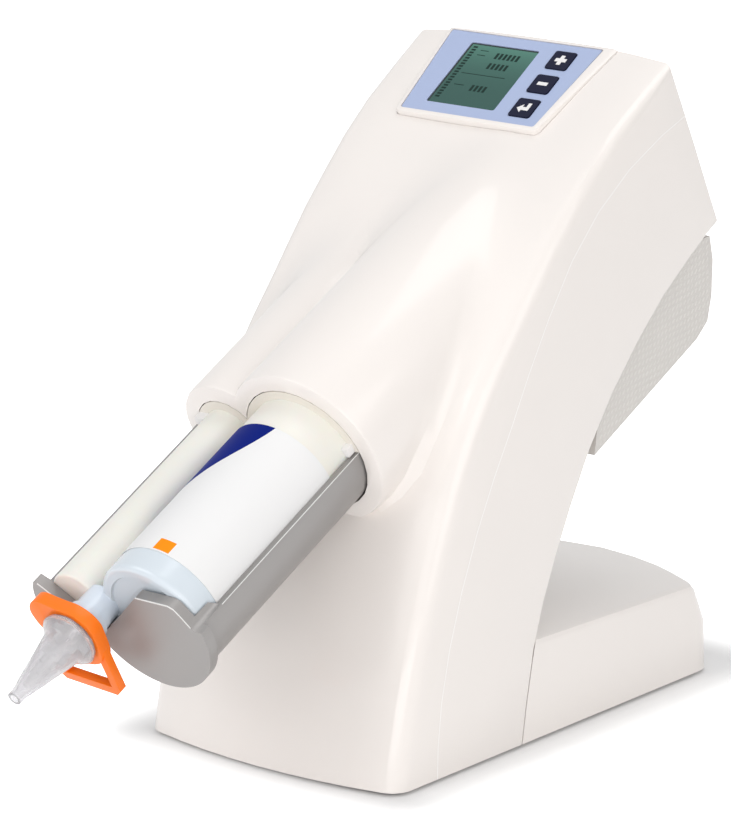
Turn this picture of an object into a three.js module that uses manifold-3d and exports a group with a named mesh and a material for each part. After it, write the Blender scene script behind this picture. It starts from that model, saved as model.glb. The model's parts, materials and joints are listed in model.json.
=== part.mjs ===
// Dental impression mixer: a tabletop machine that presses two pastes out of a twin-barrel cartridge
// and turns the rotor of the mixing tip. Millimetres, +Z up, the front of the machine towards -Y.
import * as THREE from "three";
import { mergeVertices } from "three/addons/utils/BufferGeometryUtils.js";
import Module from "manifold-3d";

const wasm = await Module();
wasm.setup();

// Housing sizes
const bodyWidth = 157.8;
const bodyHeight = 318;
const bodyReach = 253;
const shellWall = 3;
const frontCrown = 10;
const ridgeEdgeRadius = 3.6;
const crestRadius = 8;
const rearEdgeRadius = 1.6;
const padReveal = 1.8;
const seamGap = 0.4;
const fitGap = 0.3;
const runGap = 0.6;
const overrun = 6;

// Foot sizes
const footRearReach = 279;
const footRearBow = 31;
const footHeight = 46;
const footRearSlope = 12;
const footEdgeRadius = 3;
const footFall = 8;
const footFront = 40;
const padRadius = 9;
const padInset = 20;
const padScrewGap = 4.6;
const basePlateThickness = 2.5;
const screwRadius = 3.6;

// Cartridge sizes
const baseBarrelRadius = 29.5;
const catalystBarrelRadius = 13.75;
const baseWall = 1.5;
const catalystWall = 1.25;
const barrelReach = 120;
const barrelTail = 14;
const frontWall = 3;
const flangeRim = 4.7;
const flangeThickness = 3;
const lugSize = 5.6;
const labelThickness = 0.3;
const labelRear = 18.7;
const labelFront = 109;
const labelGap = 0.15;
const neckReach = 10;
const neckRadius = 9.3;
const neckBoreGap = 1.3;
const baseOutletRadius = 2.1;
const catalystOutletRadius = 1.5;
const headRadius = 12.5;
const headThickness = 4;
const pistonThickness = 11;
const pistonCup = 3;
const pistonGap = 0.3;

// Carrier sizes
const carrierGap = 0.5;
const carrierWall = 3.3;
const carrierLip = 4.5;
const carrierTail = 39;
const endPlateThickness = 6;
const endPlateFlare = 3;
const endPlateTop = 20;
const notchLeftLean = THREE.MathUtils.degToRad(28);
const notchRightLean = THREE.MathUtils.degToRad(41);
const smallPlateTop = 11;
const lipRise = 14;

// Drive line sizes
const driveTilt = THREE.MathUtils.degToRad(27.37);
const collarReach = 8.6;
const collarHeightShare = 0.4906;
const collarHeight = collarHeightShare * bodyHeight;
const collarRim = 8.6;
const collarDepth = 26;
const collarEdge = 2;
const blendLength = 26;
const shaftRadius = 1.25;
const shaftTailRadius = 4;
const travelSpare = 3.5;
const plungerThickness = 6;
const plungerGap = 0.8;
const bulkheadThickness = 4;
const yokeThickness = 10;
const yokeHeight = 16;
const rackModule = 2;
const rackPinionTeeth = 12;
const rackPitchDrop = 8;
const baseRackWidth = 14;
const catalystRackWidth = 8;
const feedShaftReach = 70;
const feedShaftRadius = 4;
const feedModule = 1.5;
const feedGearTeeth = 30;
const motorPinionTeeth = 10;
const gearWidth = 7;
const feedMotorRadius = 14;
const feedMotorLength = 50;
const mixerMotorRadius = 14;
const mixerMotorLength = 26;
const guideRodRadius = 4;
const bedDrop = 62;
const bedThickness = 4;
const bedWidth = 104;
const bearingThickness = 8;

const guideSpread = 46;
const rackHalf = 6;
const bushRadius = 7;
const meshAngle = Math.PI / 6;
const meshGap = 0.3;
const feedGearX = 6.75;
const bracketThickness = 3;
const motorStub = 2.5;

// Mixing tip and locking ring sizes
const tipGap = 0.4;
const tipNeckRadius = 12.4;
const tipBellRadius = 14.5;
const tipLength = 52;
const tipWall = 1.3;
const ringSetback = 1.6;
const ringWidth = 7;
const ringRadius = 17.8;
const handleReach = 28;
const handleBar = 4.4;
const rotorRadius = 3.1;
const rotorBlade = 1.4;
const rotorRows = 7;
const shaftSocket = 12;
const tipMouthRadius = 3.5;

// Control panel sizes
const panelBackWidth = 93.7;
const panelFrontWidth = 82.5;
const panelDepth = 58;
const panelOffset = 9.8;
const panelTilt = THREE.MathUtils.degToRad(33.2);
const panelDrop = 13.4;
const panelBackset = 67;
const filmCorner = 1.2;
const bezelCorner = 3;
const bezelBevel = 1.4;
const bezelRim = 2.8;
const bezelShoulder = 6;
const bezelThickness = 9;
const boardInset = 1.5;
const overlayThickness = 1.2;
const windowWidth = 41.9;
const windowDepth = 43.9;
const windowOffset = 8.8;
const keyWidth = 12.8;
const keyDepth = 12.6;
const keyPitch = 17.6;
const keyOffset = 28.6;
const keyProud = 0.6;
const keyTravel = 0.5;
const keyFlange = 1;
const keyFlangeMargin = 1.5;
const boardThickness = 1.6;

const keyCorner = 1.2;
const bezelRise = 0.4;
const bezelFloor = -3.4;
const flangeTop = -3.8;
const windowBottom = -5;
const boardTop = -7;

// Rear panel sizes
const seatDepth = 1.6;
const pinWidth = 2;
const pinPitch = 6;
const pinRecess = 5;
const rockerReach = 8.5;
const rockerProud = 2.6;
const rockerDrop = 5;
const inletWidth = 31;
const inletHeight = 24;
const inletDepth = 18;
const switchWidth = 20;
const switchGap = 5;
const rockerWidth = 12;
const rockerLength = 17;
const rockerTilt = THREE.MathUtils.degToRad(10);
const flangePlate = 2;
const flangeCorner = 2.5;
const rearPanelHeight = 75;
const rearPanelLean = THREE.MathUtils.degToRad(23);

// Electronics and stand sizes
const screwHead = 1.3;
const padRearY = 230;
const supplySetback = 20;
const supplyRail = 3;
const boardLength = 34;
const boardHeight = 76;
const standoff = 6;
const chipHeight = 4;
const legDepth = 43;
const legTopDepth = 40;
const bossRadius = 5;
const bossHole = 2.2;
const bossHeight = 14;
const frontBossY = 18;
const rearBossY = 210;
const supplyWidth = 70;
const supplyLength = 96;
const supplyHeight = 34;
const legThickness = 4;
const legSpread = 44;
const coverWall = 2.5;

// Side outline of the housing as shares of its reach and height, front face first
const crestShares = [
  [0, 0], [0.0415, 0.157], [0.146, 0.409], [0.249, 0.56], [0.356, 0.667], [0.482, 0.788], [0.632, 0.899],
  [0.834, 1],
];
const crownShares = [1, 0.93, 0.82, 0.7, 0.56, 0.25, -0.2, 0.3];
const tipShare = [1, 0.733];
const undersideShares = [
  [0.964, 0.717], [0.802, 0.626], [0.625, 0.478], [0.498, 0.308], [0.419, 0.16], [0.379, 0],
];
const seamShares = [
  [0.889, 0.918], [0.723, 0.865], [0.557, 0.77], [0.431, 0.638], [0.336, 0.509], [0.245, 0.384],
  [0.166, 0.236],
  [0.123, 0.101], [0.115, 0],
];
const coverShares = [[0.99, 0.709], [1.002, 0.67], [1, 0.612], [0.988, 0.572], [0.952, 0.548],
  [0.617, 0.415]];

const footRingShares = [[-0.25, 0, 0], [0, 0, 0], [0.55, 0.12, 0], [0.93, 0.85, 0], [0.985, 1.02, 0.3],
  [1, 1.22, 1]];
const footArcShares = [
  [1, -0.2], [0.99, 0.02], [0.95, 0.16], [0.8, 0.38], [0.5, 0.74], [0, 1],
  [-0.5, 0.74], [-0.8, 0.38], [-0.95, 0.16], [-0.99, 0.02], [-1, -0.2],
];

const tipShares = [
  [0, 0.855], [0.17, 0.855], [0.185, 0.98], [0.215, 1], [0.24, 0.93], [0.3, 0.72], [0.43, 0.62], [0.62, 0.48],
  [0.81, 0.345], [0.92, 0.25], [1, 0.24],
];
const rotorEndShare = 0.84;
const [legFrontShare, legTopShare] = [0.178, 0.32];
const lugHeightShare = 0.8;
const rockerRootShare = 0.55;
const edgeFadeShare = 0.75;
const rearStationShares = [0.08, 0.5, 0.94];
// The ring's outline: a thumb lobe at the upper left, a smaller one at the lower right
const ringShares = [
  [1.0, 0], [0.99, 0.36], [0.78, 0.72], [0.35, 0.97], [-0.1, 1.04], [-0.45, 1.12], [-0.82, 1.22],
  [-1.14, 1.06],
  [-1.26, 0.72], [-1.12, 0.3], [-0.93, -0.02], [-0.88, -0.36], [-0.6, -0.72], [-0.1, -0.92], [0.45, -0.84],
  [0.88, -0.66],
];
const handleShares = [
  [0.51, -0.14, 0], [0.56, -0.54, 0.1], [0.61, -0.96, 0.1], [0.5, -1.07, 0.1], [0, -1.03, 0],
  [-0.5, -0.99, 0],
  [-0.66, -0.86, 0], [-0.62, -0.5, 0], [-0.5, -0.14, 0],
];
const [rootShare, pitchShare, tipToothShare] = [0.62, 0.42, 0.2];
const [toothRootShare, toothTopShare] = [1.25, 0.9];

// Derived places along the drive line: s runs forward from the collar's face
const barrelGap = 2 * (shaftRadius + fitGap + labelGap + labelThickness);
const baseX = baseBarrelRadius + barrelGap / 2;
const catalystX = -(catalystBarrelRadius + barrelGap / 2);
const baseFlangeRadius = baseBarrelRadius + flangeRim;
const catalystFlangeRadius = catalystBarrelRadius + flangeRim;
const baseBore = baseFlangeRadius + runGap;
const catalystBore = catalystFlangeRadius + runGap;
const baseCollar = baseBore + collarRim;
const catalystCollar = catalystBore + collarRim;
const driveX = -(baseX + baseCollar + catalystX - catalystCollar) / 2;
const shoulder = barrelReach + frontWall;
const plateRear = shoulder + fitGap;
const plateFront = plateRear + endPlateThickness;
const headRear = shoulder + neckReach;
const headFront = headRear + headThickness;
const tipRear = headFront + tipGap;
const ringRear = tipRear + ringSetback;
const ringFront = ringRear + ringWidth;
const rotorSeat = headFront + 3 * tipGap;
const pistonRear = -barrelTail + pistonCup / 2;
const feedTravel = barrelReach - pistonRear - pistonThickness - travelSpare;
const plungerFront = pistonRear - fitGap;
const plungerRear = plungerFront - plungerThickness;
const bulkheadFront = -(carrierTail + fitGap);
const bulkheadRear = bulkheadFront - bulkheadThickness;
const rackPinionRadius = (rackModule * rackPinionTeeth) / 2;
const feedShaftH = -(rackPitchDrop + rackPinionRadius);
const feedGearRadius = (feedModule * feedGearTeeth) / 2;
const feedGearTip = feedGearRadius + toothTopShare * feedModule;
const motorPinionRadius = (feedModule * motorPinionTeeth) / 2;
const yokeFront = -(feedShaftReach + rackPinionRadius + rackModule + runGap + feedTravel);
const yokeRear = yokeFront - yokeThickness;
const rearBulkheadFront = yokeRear - runGap;
const rearBulkheadRear = rearBulkheadFront - bulkheadThickness;
const bedTop = -bedDrop;
const inletSeat = fitGap - seatDepth;

const materials = {
  white: new THREE.MeshStandardMaterial({ color: 0xf3f0ec, roughness: 0.3, metalness: 0 }),
  grey: new THREE.MeshStandardMaterial({ color: 0xb9bcc0, roughness: 0.6, metalness: 0 }),
  silver: new THREE.MeshStandardMaterial({ color: 0xb4b2af, roughness: 0.4, metalness: 0.7 }),
  rubber: new THREE.MeshStandardMaterial({ color: 0x1c1c1e, roughness: 0.9, metalness: 0 }),
  barrel: new THREE.MeshStandardMaterial({ color: 0xe8e9e4, roughness: 0.35, metalness: 0 }),
  paper: new THREE.MeshStandardMaterial({ color: 0xf6f6f8, roughness: 0.5, metalness: 0 }),
  orange: new THREE.MeshStandardMaterial({ color: 0xff7d1e, roughness: 0.35, metalness: 0 }),
  clear: new THREE.MeshStandardMaterial({ color: 0xe6e8ea, roughness: 0.1, transparent: true, opacity: 0.5 }),
  panel: new THREE.MeshStandardMaterial({ color: 0xb2c0e4, roughness: 0.4, metalness: 0 }),
  navy: new THREE.MeshStandardMaterial({ color: 0x141932, roughness: 0.4, metalness: 0 }),
  glass: new THREE.MeshStandardMaterial({ color: 0x3c695a, roughness: 0.15, metalness: 0 }),
  steel: new THREE.MeshStandardMaterial({ color: 0x9a9ca0, roughness: 0.35, metalness: 1 }),
  board: new THREE.MeshStandardMaterial({ color: 0x1f6b3a, roughness: 0.6, metalness: 0 }),
  black: new THREE.MeshStandardMaterial({ color: 0x202024, roughness: 0.6, metalness: 0 }),
};

const fullTurn = 2 * Math.PI;
const wideSides = 28;
const slimSides = 20;
const smallSides = 12;
const crestSteps = 16;
const undersideSteps = 11;
const seamSteps = 14;
const ringSteps = 32;

function volumeOf(positions, index) {
  const [a, b, c] = [new THREE.Vector3(), new THREE.Vector3(), new THREE.Vector3()];
  let sum = 0;
  for (let i = 0; i < index.length; i += 3) {
    a.fromArray(positions, 3 * index[i]);
    b.fromArray(positions, 3 * index[i + 1]);
    c.fromArray(positions, 3 * index[i + 2]);
    sum += a.dot(b.cross(c));
  }
  return sum;
}

// Merged vertices, no collapsed faces, every face turned out
function welded(geometry) {
  const bare = geometry.clone();
  bare.deleteAttribute("normal");
  bare.deleteAttribute("uv");
  const merged = mergeVertices(bare);
  const source = merged.index.array;
  const index = [];
  for (let i = 0; i < source.length; i += 3) {
    const [a, b, c] = [source[i], source[i + 1], source[i + 2]];
    if (a !== b && b !== c && c !== a) index.push(a, b, c);
  }
  if (volumeOf(merged.attributes.position.array, index) < 0) index.reverse();
  merged.setIndex(index);
  return merged;
}

function solid(geometry) {
  const { attributes, index } = welded(geometry);
  const vertProperties = new Float32Array(attributes.position.array);
  return new wasm.Manifold(new wasm.Mesh({ numProp: 3, vertProperties,
    triVerts: new Uint32Array(index.array) }));
}

function geometryOf(manifold) {
  const { vertProperties, triVerts } = manifold.getMesh();
  const geometry = new THREE.BufferGeometry();
  geometry.setAttribute("position", new THREE.BufferAttribute(new Float32Array(vertProperties), 3));
  geometry.setIndex(new THREE.BufferAttribute(new Uint32Array(triVerts), 1));
  return geometry;
}

const joined = (first, ...others) => others.reduce((sum, next) => sum.add(next), first);
const carved = (first, ...others) => others.reduce((sum, next) => sum.subtract(next), first);

function gridGeometry(rings) {
  const count = rings[0].length;
  const positions = rings.flat().flatMap((p) => [p.x, p.y, p.z]);
  const index = [];
  for (let r = 0; r + 1 < rings.length; r++) {
    for (let i = 0; i < count; i++) {
      const [a, b] = [r * count + i, r * count + ((i + 1) % count)];
      index.push(a, b, b + count, a, b + count, a + count);
    }
  }
  return { positions, index, count };
}

function bufferOf(positions, index) {
  const geometry = new THREE.BufferGeometry();
  geometry.setAttribute("position", new THREE.Float32BufferAttribute(positions, 3));
  geometry.setIndex(index);
  return geometry;
}

// A skin through rings of points, closed by a flat face over each end ring
function lofted(rings, flatten) {
  const { positions, index, count } = gridGeometry(rings);
  const last = (rings.length - 1) * count;
  for (const [ring, base, flip] of [[rings[0], 0, true], [rings[rings.length - 1], last, false]]) {
    for (const [a, b, c] of THREE.ShapeUtils.triangulateShape(ring.map(flatten), [])) {
      index.push(base + a, base + (flip ? c : b), base + (flip ? b : c));
    }
  }
  const geometry = bufferOf(positions, index);
  return orientedCaps(geometry, rings, index, count, last);
}

// Earcut may turn a cap either way, so each cap is set against the winding of the skin beside it
function orientedCaps(geometry, rings, index, count, last) {
  const edges = new Set();
  const skin = (rings.length - 1) * count * 6;
  for (let i = 0; i < skin; i += 3) {
    for (let k = 0; k < 3; k++) edges.add(`${index[i + k]} ${index[i + ((k + 1) % 3)]}`);
  }
  for (const base of [0, last]) {
    const own = [];
    for (let i = skin; i < index.length; i += 3) {
      if (index[i] >= base && index[i] < base + count) own.push(i);
    }
    const shared = (i) => [0, 1, 2].some((k) => edges.has(`${index[i + k]} ${index[i + ((k + 1) % 3)]}`));
    const clash = own.some(shared);
    if (clash) for (const i of own) [index[i + 1], index[i + 2]] = [index[i + 2], index[i + 1]];
  }
  geometry.setIndex(index);
  return geometry;
}

const outlineShape = (points) => new THREE.Shape(points.map(([a, b]) => new THREE.Vector2(a, b)));

// A side outline of [y, z] points, or a shape, pulled along X from x0 to x1
function sideSlab(points, x0, x1) {
  const shape = Array.isArray(points) ? outlineShape(points) : points;
  const geometry = new THREE.ExtrudeGeometry(shape, { depth: x1 - x0, bevelEnabled: false,
    curveSegments: 6 });
  const basis = new THREE.Matrix4().makeBasis(
    new THREE.Vector3(0, 1, 0), new THREE.Vector3(0, 0, 1), new THREE.Vector3(1, 0, 0),
  );
  return geometry.applyMatrix4(basis).translate(x0, 0, 0);
}

// An outline of [x, h] points, or a shape, pulled forward along the drive line from s0 to s1
function crossSlab(points, s0, s1) {
  const shape = Array.isArray(points) ? outlineShape(points) : points;
  const geometry = new THREE.ExtrudeGeometry(shape, { depth: s1 - s0, bevelEnabled: false,
    curveSegments: 12 });
  const basis = new THREE.Matrix4().makeBasis(
    new THREE.Vector3(1, 0, 0), new THREE.Vector3(0, 0, 1), new THREE.Vector3(0, -1, 0),
  );
  return geometry.applyMatrix4(basis).translate(0, -s0, 0);
}

function rod(radius, s0, s1, x = 0, h = 0, sides = wideSides) {
  return new THREE.CylinderGeometry(radius, radius, s1 - s0, sides).translate(x, -(s0 + s1) / 2, h);
}

function crossRod(radius, x0, x1, s = 0, h = 0, sides = 20) {
  const geometry = new THREE.CylinderGeometry(radius, radius, x1 - x0, sides).rotateZ(Math.PI / 2);
  return geometry.translate((x0 + x1) / 2, -s, h);
}

// A solid of revolution about the drive line from [radius, s] pairs
function turned(profile, sides, x = 0, h = 0) {
  const points = profile.map(([radius, s]) => new THREE.Vector2(radius, -s));
  return new THREE.LatheGeometry(points, sides).translate(x, 0, h);
}

function block(x0, x1, s0, s1, h0, h1) {
  return new THREE.BoxGeometry(x1 - x0, s1 - s0, h1 - h0).translate((x0 + x1) / 2, -(s0 + s1) / 2,
    (h0 + h1) / 2);
}

// Housing outline in side view
const onBody = ([y, z]) => new THREE.Vector2(y * bodyReach, z * bodyHeight);

function splineThrough(shares, steps) {
  return new THREE.SplineCurve(shares.map(onBody)).getPoints(steps);
}

function extended(points, atStart) {
  const [end, next] = atStart ? [points[0], points[1]] : [points[points.length - 1],
    points[points.length - 2]];
  const step = end.clone().sub(next).setLength(2 * overrun);
  return end.clone().add(step);
}

// Each station: its point, how far the face swells there, and the radius of the side edge
function housingStations() {
  const crest = splineThrough(crestShares, crestSteps);
  const underside = splineThrough(undersideShares, undersideSteps);
  const tip = onBody(tipShare);
  const ridge = crest[crest.length - 1];
  const stations = [{ point: extended(crest, true), crown: frontCrown, radius: crestRadius }];
  const crowns = new THREE.SplineCurve(crownShares.map((share, i) => new THREE.Vector2(i, share)))
    .getPoints(crestSteps);
  crest.forEach((point, i) => {
    const rise = i / (crest.length - 1);
    const fade = Math.max(0, (rise - edgeFadeShare) / (1 - edgeFadeShare));
    const radius = THREE.MathUtils.lerp(crestRadius, ridgeEdgeRadius, fade);
    stations.push({ point, crown: frontCrown * crowns[i].y, radius });
  });
  const ridgeCrown = stations[stations.length - 1].crown;
  for (const share of rearStationShares) {
    const radius = THREE.MathUtils.lerp(ridgeEdgeRadius, rearEdgeRadius, share * (2 - share));
    stations.push({ point: ridge.clone().lerp(tip, share), crown: ridgeCrown * (1 - share / 2), radius });
  }
  stations.push({ point: tip, crown: ridgeCrown / 2, radius: rearEdgeRadius });
  underside.forEach((point) => stations.push({ point, crown: 0, radius: rearEdgeRadius }));
  stations.push({ point: extended(underside, false), crown: 0, radius: rearEdgeRadius });
  return stations;
}

function miters(points) {
  return points.map((point, i) => {
    const before = point.clone().sub(points[(i + points.length - 1) % points.length]).normalize();
    const after = points[(i + 1) % points.length].clone().sub(point).normalize();
    const [n1, n2] = [new THREE.Vector2(-before.y, before.x), new THREE.Vector2(-after.y, after.x)];
    return n1.add(n2).divideScalar(1 + before.dot(after));
  });
}

const columnShares = [0, 0.3, 0.65, 1, 0.75, 0.5, 0.25, 0];
const cornerColumns = 4;

// The housing as one solid, drawn in by an inset all round
function housingSolid(inset) {
  const stations = housingStations();
  const normals = miters(stations.map((station) => station.point));
  const half = bodyWidth / 2 - inset;
  const columns = [];
  for (let c = 0; c < columnShares.length; c++) columns.push([c, 1]);
  for (let c = columnShares.length - 2; c >= 0; c--) columns.push([c, -1]);
  const rings = columns.map(([column, side]) => stations.map(({ point, crown, radius }, i) => {
    const edge = Math.max(radius - inset, radius / 4);
    const turn = column < cornerColumns ? (columnShares[column] * Math.PI) / 2 : Math.PI / 2;
    const x =
      column < cornerColumns ? half - edge * (1 - Math.cos(turn)) : (half - edge) * columnShares[column];
    const drop = edge * (1 - Math.sin(turn));
    const spread = x / (bodyWidth / 2);
    const shift = crown * (1 - spread * spread) - drop - inset;
    return new THREE.Vector3(side * x, point.x + normals[i].x * shift, point.y + normals[i].y * shift);
  }));
  const raw = solid(lofted(rings, (p) => new THREE.Vector2(p.y, p.z)));
  const ground = sideSlab([
    [-bodyReach, -bodyHeight], [2 * bodyReach, -bodyHeight], [2 * bodyReach, -4 * Math.abs(inset)],
    [-bodyReach, -4 * Math.abs(inset)],
  ], -bodyWidth, bodyWidth);
  return raw.subtract(solid(ground));
}

// The front face's side outline where it crosses a plane of constant x
function faceLine(x) {
  const stations = housingStations().slice(0, crestSteps + 2);
  const spread = Math.min(1, Math.abs(x) / (bodyWidth / 2));
  const normals = miters(stations.map((station) => station.point));
  const line = stations.map(({ point, crown }, i) => {
    const normal = normals[i === 0 ? 1 : Math.min(i, stations.length - 2)];
    const shift = crown * (1 - spread * spread);
    return new THREE.Vector2(point.x + normal.x * shift, point.y + normal.y * shift);
  });
  const [before, top] = line.slice(-2);
  const beyond = top.clone().sub(before).setLength(bodyReach);
  return [...line, top.clone().add(beyond)];
}

const driveForward = new THREE.Vector3(0, -Math.cos(driveTilt), -Math.sin(driveTilt));
const driveUp = new THREE.Vector3(0, -Math.sin(driveTilt), Math.cos(driveTilt));
const driveOrigin = new THREE.Vector3(driveX, collarReach, collarHeight);
const toBody = new THREE.Matrix4().makeBasis(new THREE.Vector3(1, 0, 0), driveForward.clone().negate(),
  driveUp)
  .setPosition(driveOrigin);

function onDrive(x, s, h) {
  return new THREE.Vector3(x, -s, h).applyMatrix4(toBody);
}

// Where a line along the drive through (x, h) enters the front face: its s and the face's direction there
function faceCrossing(x, h) {
  const line = faceLine(driveX + x);
  const start = onDrive(x, 0, h);
  const across = (p) => (p.x - start.y) * driveForward.z - (p.y - start.z) * driveForward.y;
  for (let i = line.length - 1; i > 0; i--) {
    const [low, high] = [across(line[i - 1]), across(line[i])];
    if (low * high <= 0 && low !== high) {
      const point = line[i - 1].clone().lerp(line[i], low / (low - high));
      const tangent = line[i].clone().sub(line[i - 1]).normalize();
      const s = (point.x - start.y) * driveForward.y + (point.y - start.z) * driveForward.z;
      return { s, tangent };
    }
  }
  return null;
}

function faceReach(x, z) {
  const line = faceLine(x);
  for (let i = 1; i < line.length; i++) {
    if (line[i].y >= z) {
      const share = (z - line[i - 1].y) / (line[i].y - line[i - 1].y);
      return line[i - 1].x + (line[i].x - line[i - 1].x) * share;
    }
  }
  return line[line.length - 1].x;
}

// A collar that stands out of the front face, its rear edge spread over the face as a moulded blend
function collarSkirt(centreX, radius) {
  const sides = 30;
  const rings = [[], [], [], [], [], [], [], []];
  for (let i = 0; i < sides; i++) {
    const angle = (i * fullTurn) / sides;
    const [sine, cosine] = [Math.sin(angle), Math.cos(angle)];
    const [x, h] = [centreX + radius * sine, radius * cosine];
    const hit = faceCrossing(x, h);
    const meet = Math.min(hit.s, -3 * collarEdge);
    const corner = onDrive(x, meet, h);
    const faceNormal = new THREE.Vector3(0, -hit.tangent.y, hit.tangent.x);
    const radial = new THREE.Vector3(sine, 0, 0).addScaledVector(driveUp, cosine);
    const along = radial.clone().addScaledVector(faceNormal, -radial.dot(faceNormal)).normalize();
    const forward = Math.min(blendLength, (-meet - 2 * collarEdge) * 0.8);
    const sideRoom = (bodyWidth / 2 - crestRadius - Math.abs(driveX + x)) / Math.max(Math.abs(along.x), 0.05);
    const reach = Math.min(blendLength * Math.min(1, 0.25 + forward / blendLength),
      Math.max(sideRoom, collarEdge));
    const from = corner.clone().addScaledVector(driveForward, forward);
    const to = corner.clone().addScaledVector(along, reach);
    const settled = (p, depth) => p.clone().setY(Math.max(p.y, faceReach(p.x, p.z) + depth));
    const end = to.clone().setY(faceReach(to.x, to.z) + fitGap);
    const bend = (t) => from.clone().multiplyScalar((1 - t) * (1 - t))
      .addScaledVector(corner, 2 * t * (1 - t))
      .addScaledVector(end, t * t);
    rings[0].push(onDrive(centreX + (radius - collarEdge) * sine, 0, (radius - collarEdge) * cosine));
    rings[1].push(onDrive(centreX + (radius - collarEdge * 0.3) * sine, -collarEdge * 0.3,
      (radius - collarEdge * 0.3) * cosine));
    rings[2].push(onDrive(x, -collarEdge, h));
    rings[3].push(from);
    rings[4].push(bend(0.3));
    rings[5].push(bend(0.65));
    rings[6].push(end);
    rings[7].push(settled(end.clone().addScaledVector(faceNormal, -shellWall * 2), 2 * shellWall));
  }
  const { positions, index, count } = gridGeometry(rings);
  const front = positions.length / 3;
  const face = onDrive(centreX, 0, 0);
  const deep = onDrive(centreX, -5 * collarDepth, -radius);
  positions.push(face.x, face.y, face.z, deep.x, deep.y, deep.z);
  const last = (rings.length - 1) * count;
  for (let i = 0; i < count; i++) {
    const next = (i + 1) % count;
    index.push(front, next, i, front + 1, last + i, last + next);
  }
  return solid(bufferOf(positions, index));
}

const inBody = (geometry) => geometry.applyMatrix4(toBody);

function seamPoints(shift) {
  const seam = splineThrough(seamShares, seamSteps);
  const low = extended(seam, false);
  const high = extended(seam, true);
  const points = [high, ...seam, low];
  const normals = points.map((point, i) => {
    const before = points[Math.max(0, i - 1)];
    const after = points[Math.min(points.length - 1, i + 1)];
    const along = after.clone().sub(before).normalize();
    return new THREE.Vector2(along.y, -along.x);
  });
  return points.map((point, i) => [point.x - normals[i].x * shift, point.y - normals[i].y * shift]);
}

function frontRegion(shift) {
  const seam = seamPoints(shift);
  const first = seam[0];
  const last = seam[seam.length - 1];
  const outline = [...seam, [last[0], -bodyHeight], [-bodyReach, -bodyHeight], [-bodyReach, 2 * bodyHeight],
    [first[0], 2 * bodyHeight]];
  return solid(sideSlab(outline, -bodyWidth, bodyWidth));
}

function housingHollow() {
  const reach = 3 * bodyHeight;
  const cavity = housingSolid(shellWall);
  const baseRoom = inBody(rod(baseCollar - shellWall, -6 * collarDepth, -collarDepth, baseX, 0, wideSides));
  const catalystRoom = inBody(rod(catalystCollar - shellWall, -6 * collarDepth, -collarDepth, catalystX, 0,
    slimSides));
  const floor = sideSlab([[-bodyReach, -reach], [bodyReach, -reach], [bodyReach, 0], [-bodyReach, 0]],
    -bodyWidth / 2, bodyWidth / 2);
  const bores = [
    inBody(rod(baseBore, -collarDepth - overrun, overrun, baseX, 0, wideSides)),
    inBody(rod(catalystBore, -collarDepth - overrun, overrun, catalystX, 0, slimSides)),
  ];
  return joined(cavity, solid(baseRoom), solid(catalystRoom), ...bores.map(solid)).subtract(solid(floor));
}

// The housing's underside, from the tip of the head down to the rear cover's low edge
function openUnderside() {
  const low = coverShares[coverShares.length - 1][1] * bodyHeight + 2 * shellWall;
  return splineThrough(undersideShares, undersideSteps).filter((p) => p.y > low);
}

// Side outline of the opening under the head that the rear cover closes
function underOpening() {
  const underside = openUnderside();
  const normals = miters(underside);
  const beside = (side) => underside.slice(0, -1).map((p, i) => {
    const normal = normals[Math.max(i, 1)];
    return [p.x + side * normal.x * 3 * shellWall, p.y + side * normal.y * 3 * shellWall];
  });
  return [...beside(1), ...beside(-1).reverse()];
}

// A closed outline drawn in by a distance, its points in anticlockwise order
function drawnIn(outline, distance) {
  const points = outline.map(([a, b]) => new THREE.Vector2(a, b));
  const turn = THREE.ShapeUtils.isClockWise(points) ? -1 : 1;
  return miters(points).map((normal, i) => {
    const moved = points[i].clone().addScaledVector(normal, turn * distance);
    return [moved.x, moved.y];
  });
}

const slopeHeight =
  (y, h) => collarHeight + (h + (y - collarReach) * Math.sin(driveTilt)) / Math.cos(driveTilt);

// Outline of the rear cover in side view: its outer line, then its rim inside the head
function coverOutline() {
  const outer = coverShares.map(onBody);
  const underside = splineThrough(undersideShares, undersideSteps);
  const normals = miters(underside);
  const low = outer[outer.length - 1];
  const rim = underside.filter((p) => p.y > low.y + 2 * shellWall && p.x < outer[0].x - 3 * shellWall);
  const inset = rim.map((p) => {
    const i = underside.indexOf(p);
    return [p.x - normals[i].x * 2 * shellWall, p.y - normals[i].y * 2 * shellWall];
  });
  return [...outer.map((p) => [p.x, p.y]), ...inset.reverse()];
}

function rearCover() {
  const half = bodyWidth / 2 - shellWall - runGap;
  const outline = coverOutline();
  const tray = solid(sideSlab(outline, -half, half));
  const inner = drawnIn(outline, coverWall);
  const count = coverShares.length;
  const lift = inner.map(([y, z], i) => (i < count ? [y, z] : [y - 4 * coverWall, z + 6 * coverWall]));
  lift[0] = [lift[0][0] - coverWall, lift[0][1] + 4 * coverWall];
  lift[count - 1] = [lift[count - 1][0] - coverWall, lift[count - 1][1] + coverWall];
  return carved(tray, solid(sideSlab(lift, -half + coverWall, half - coverWall)), ...coverTrims());
}

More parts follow.
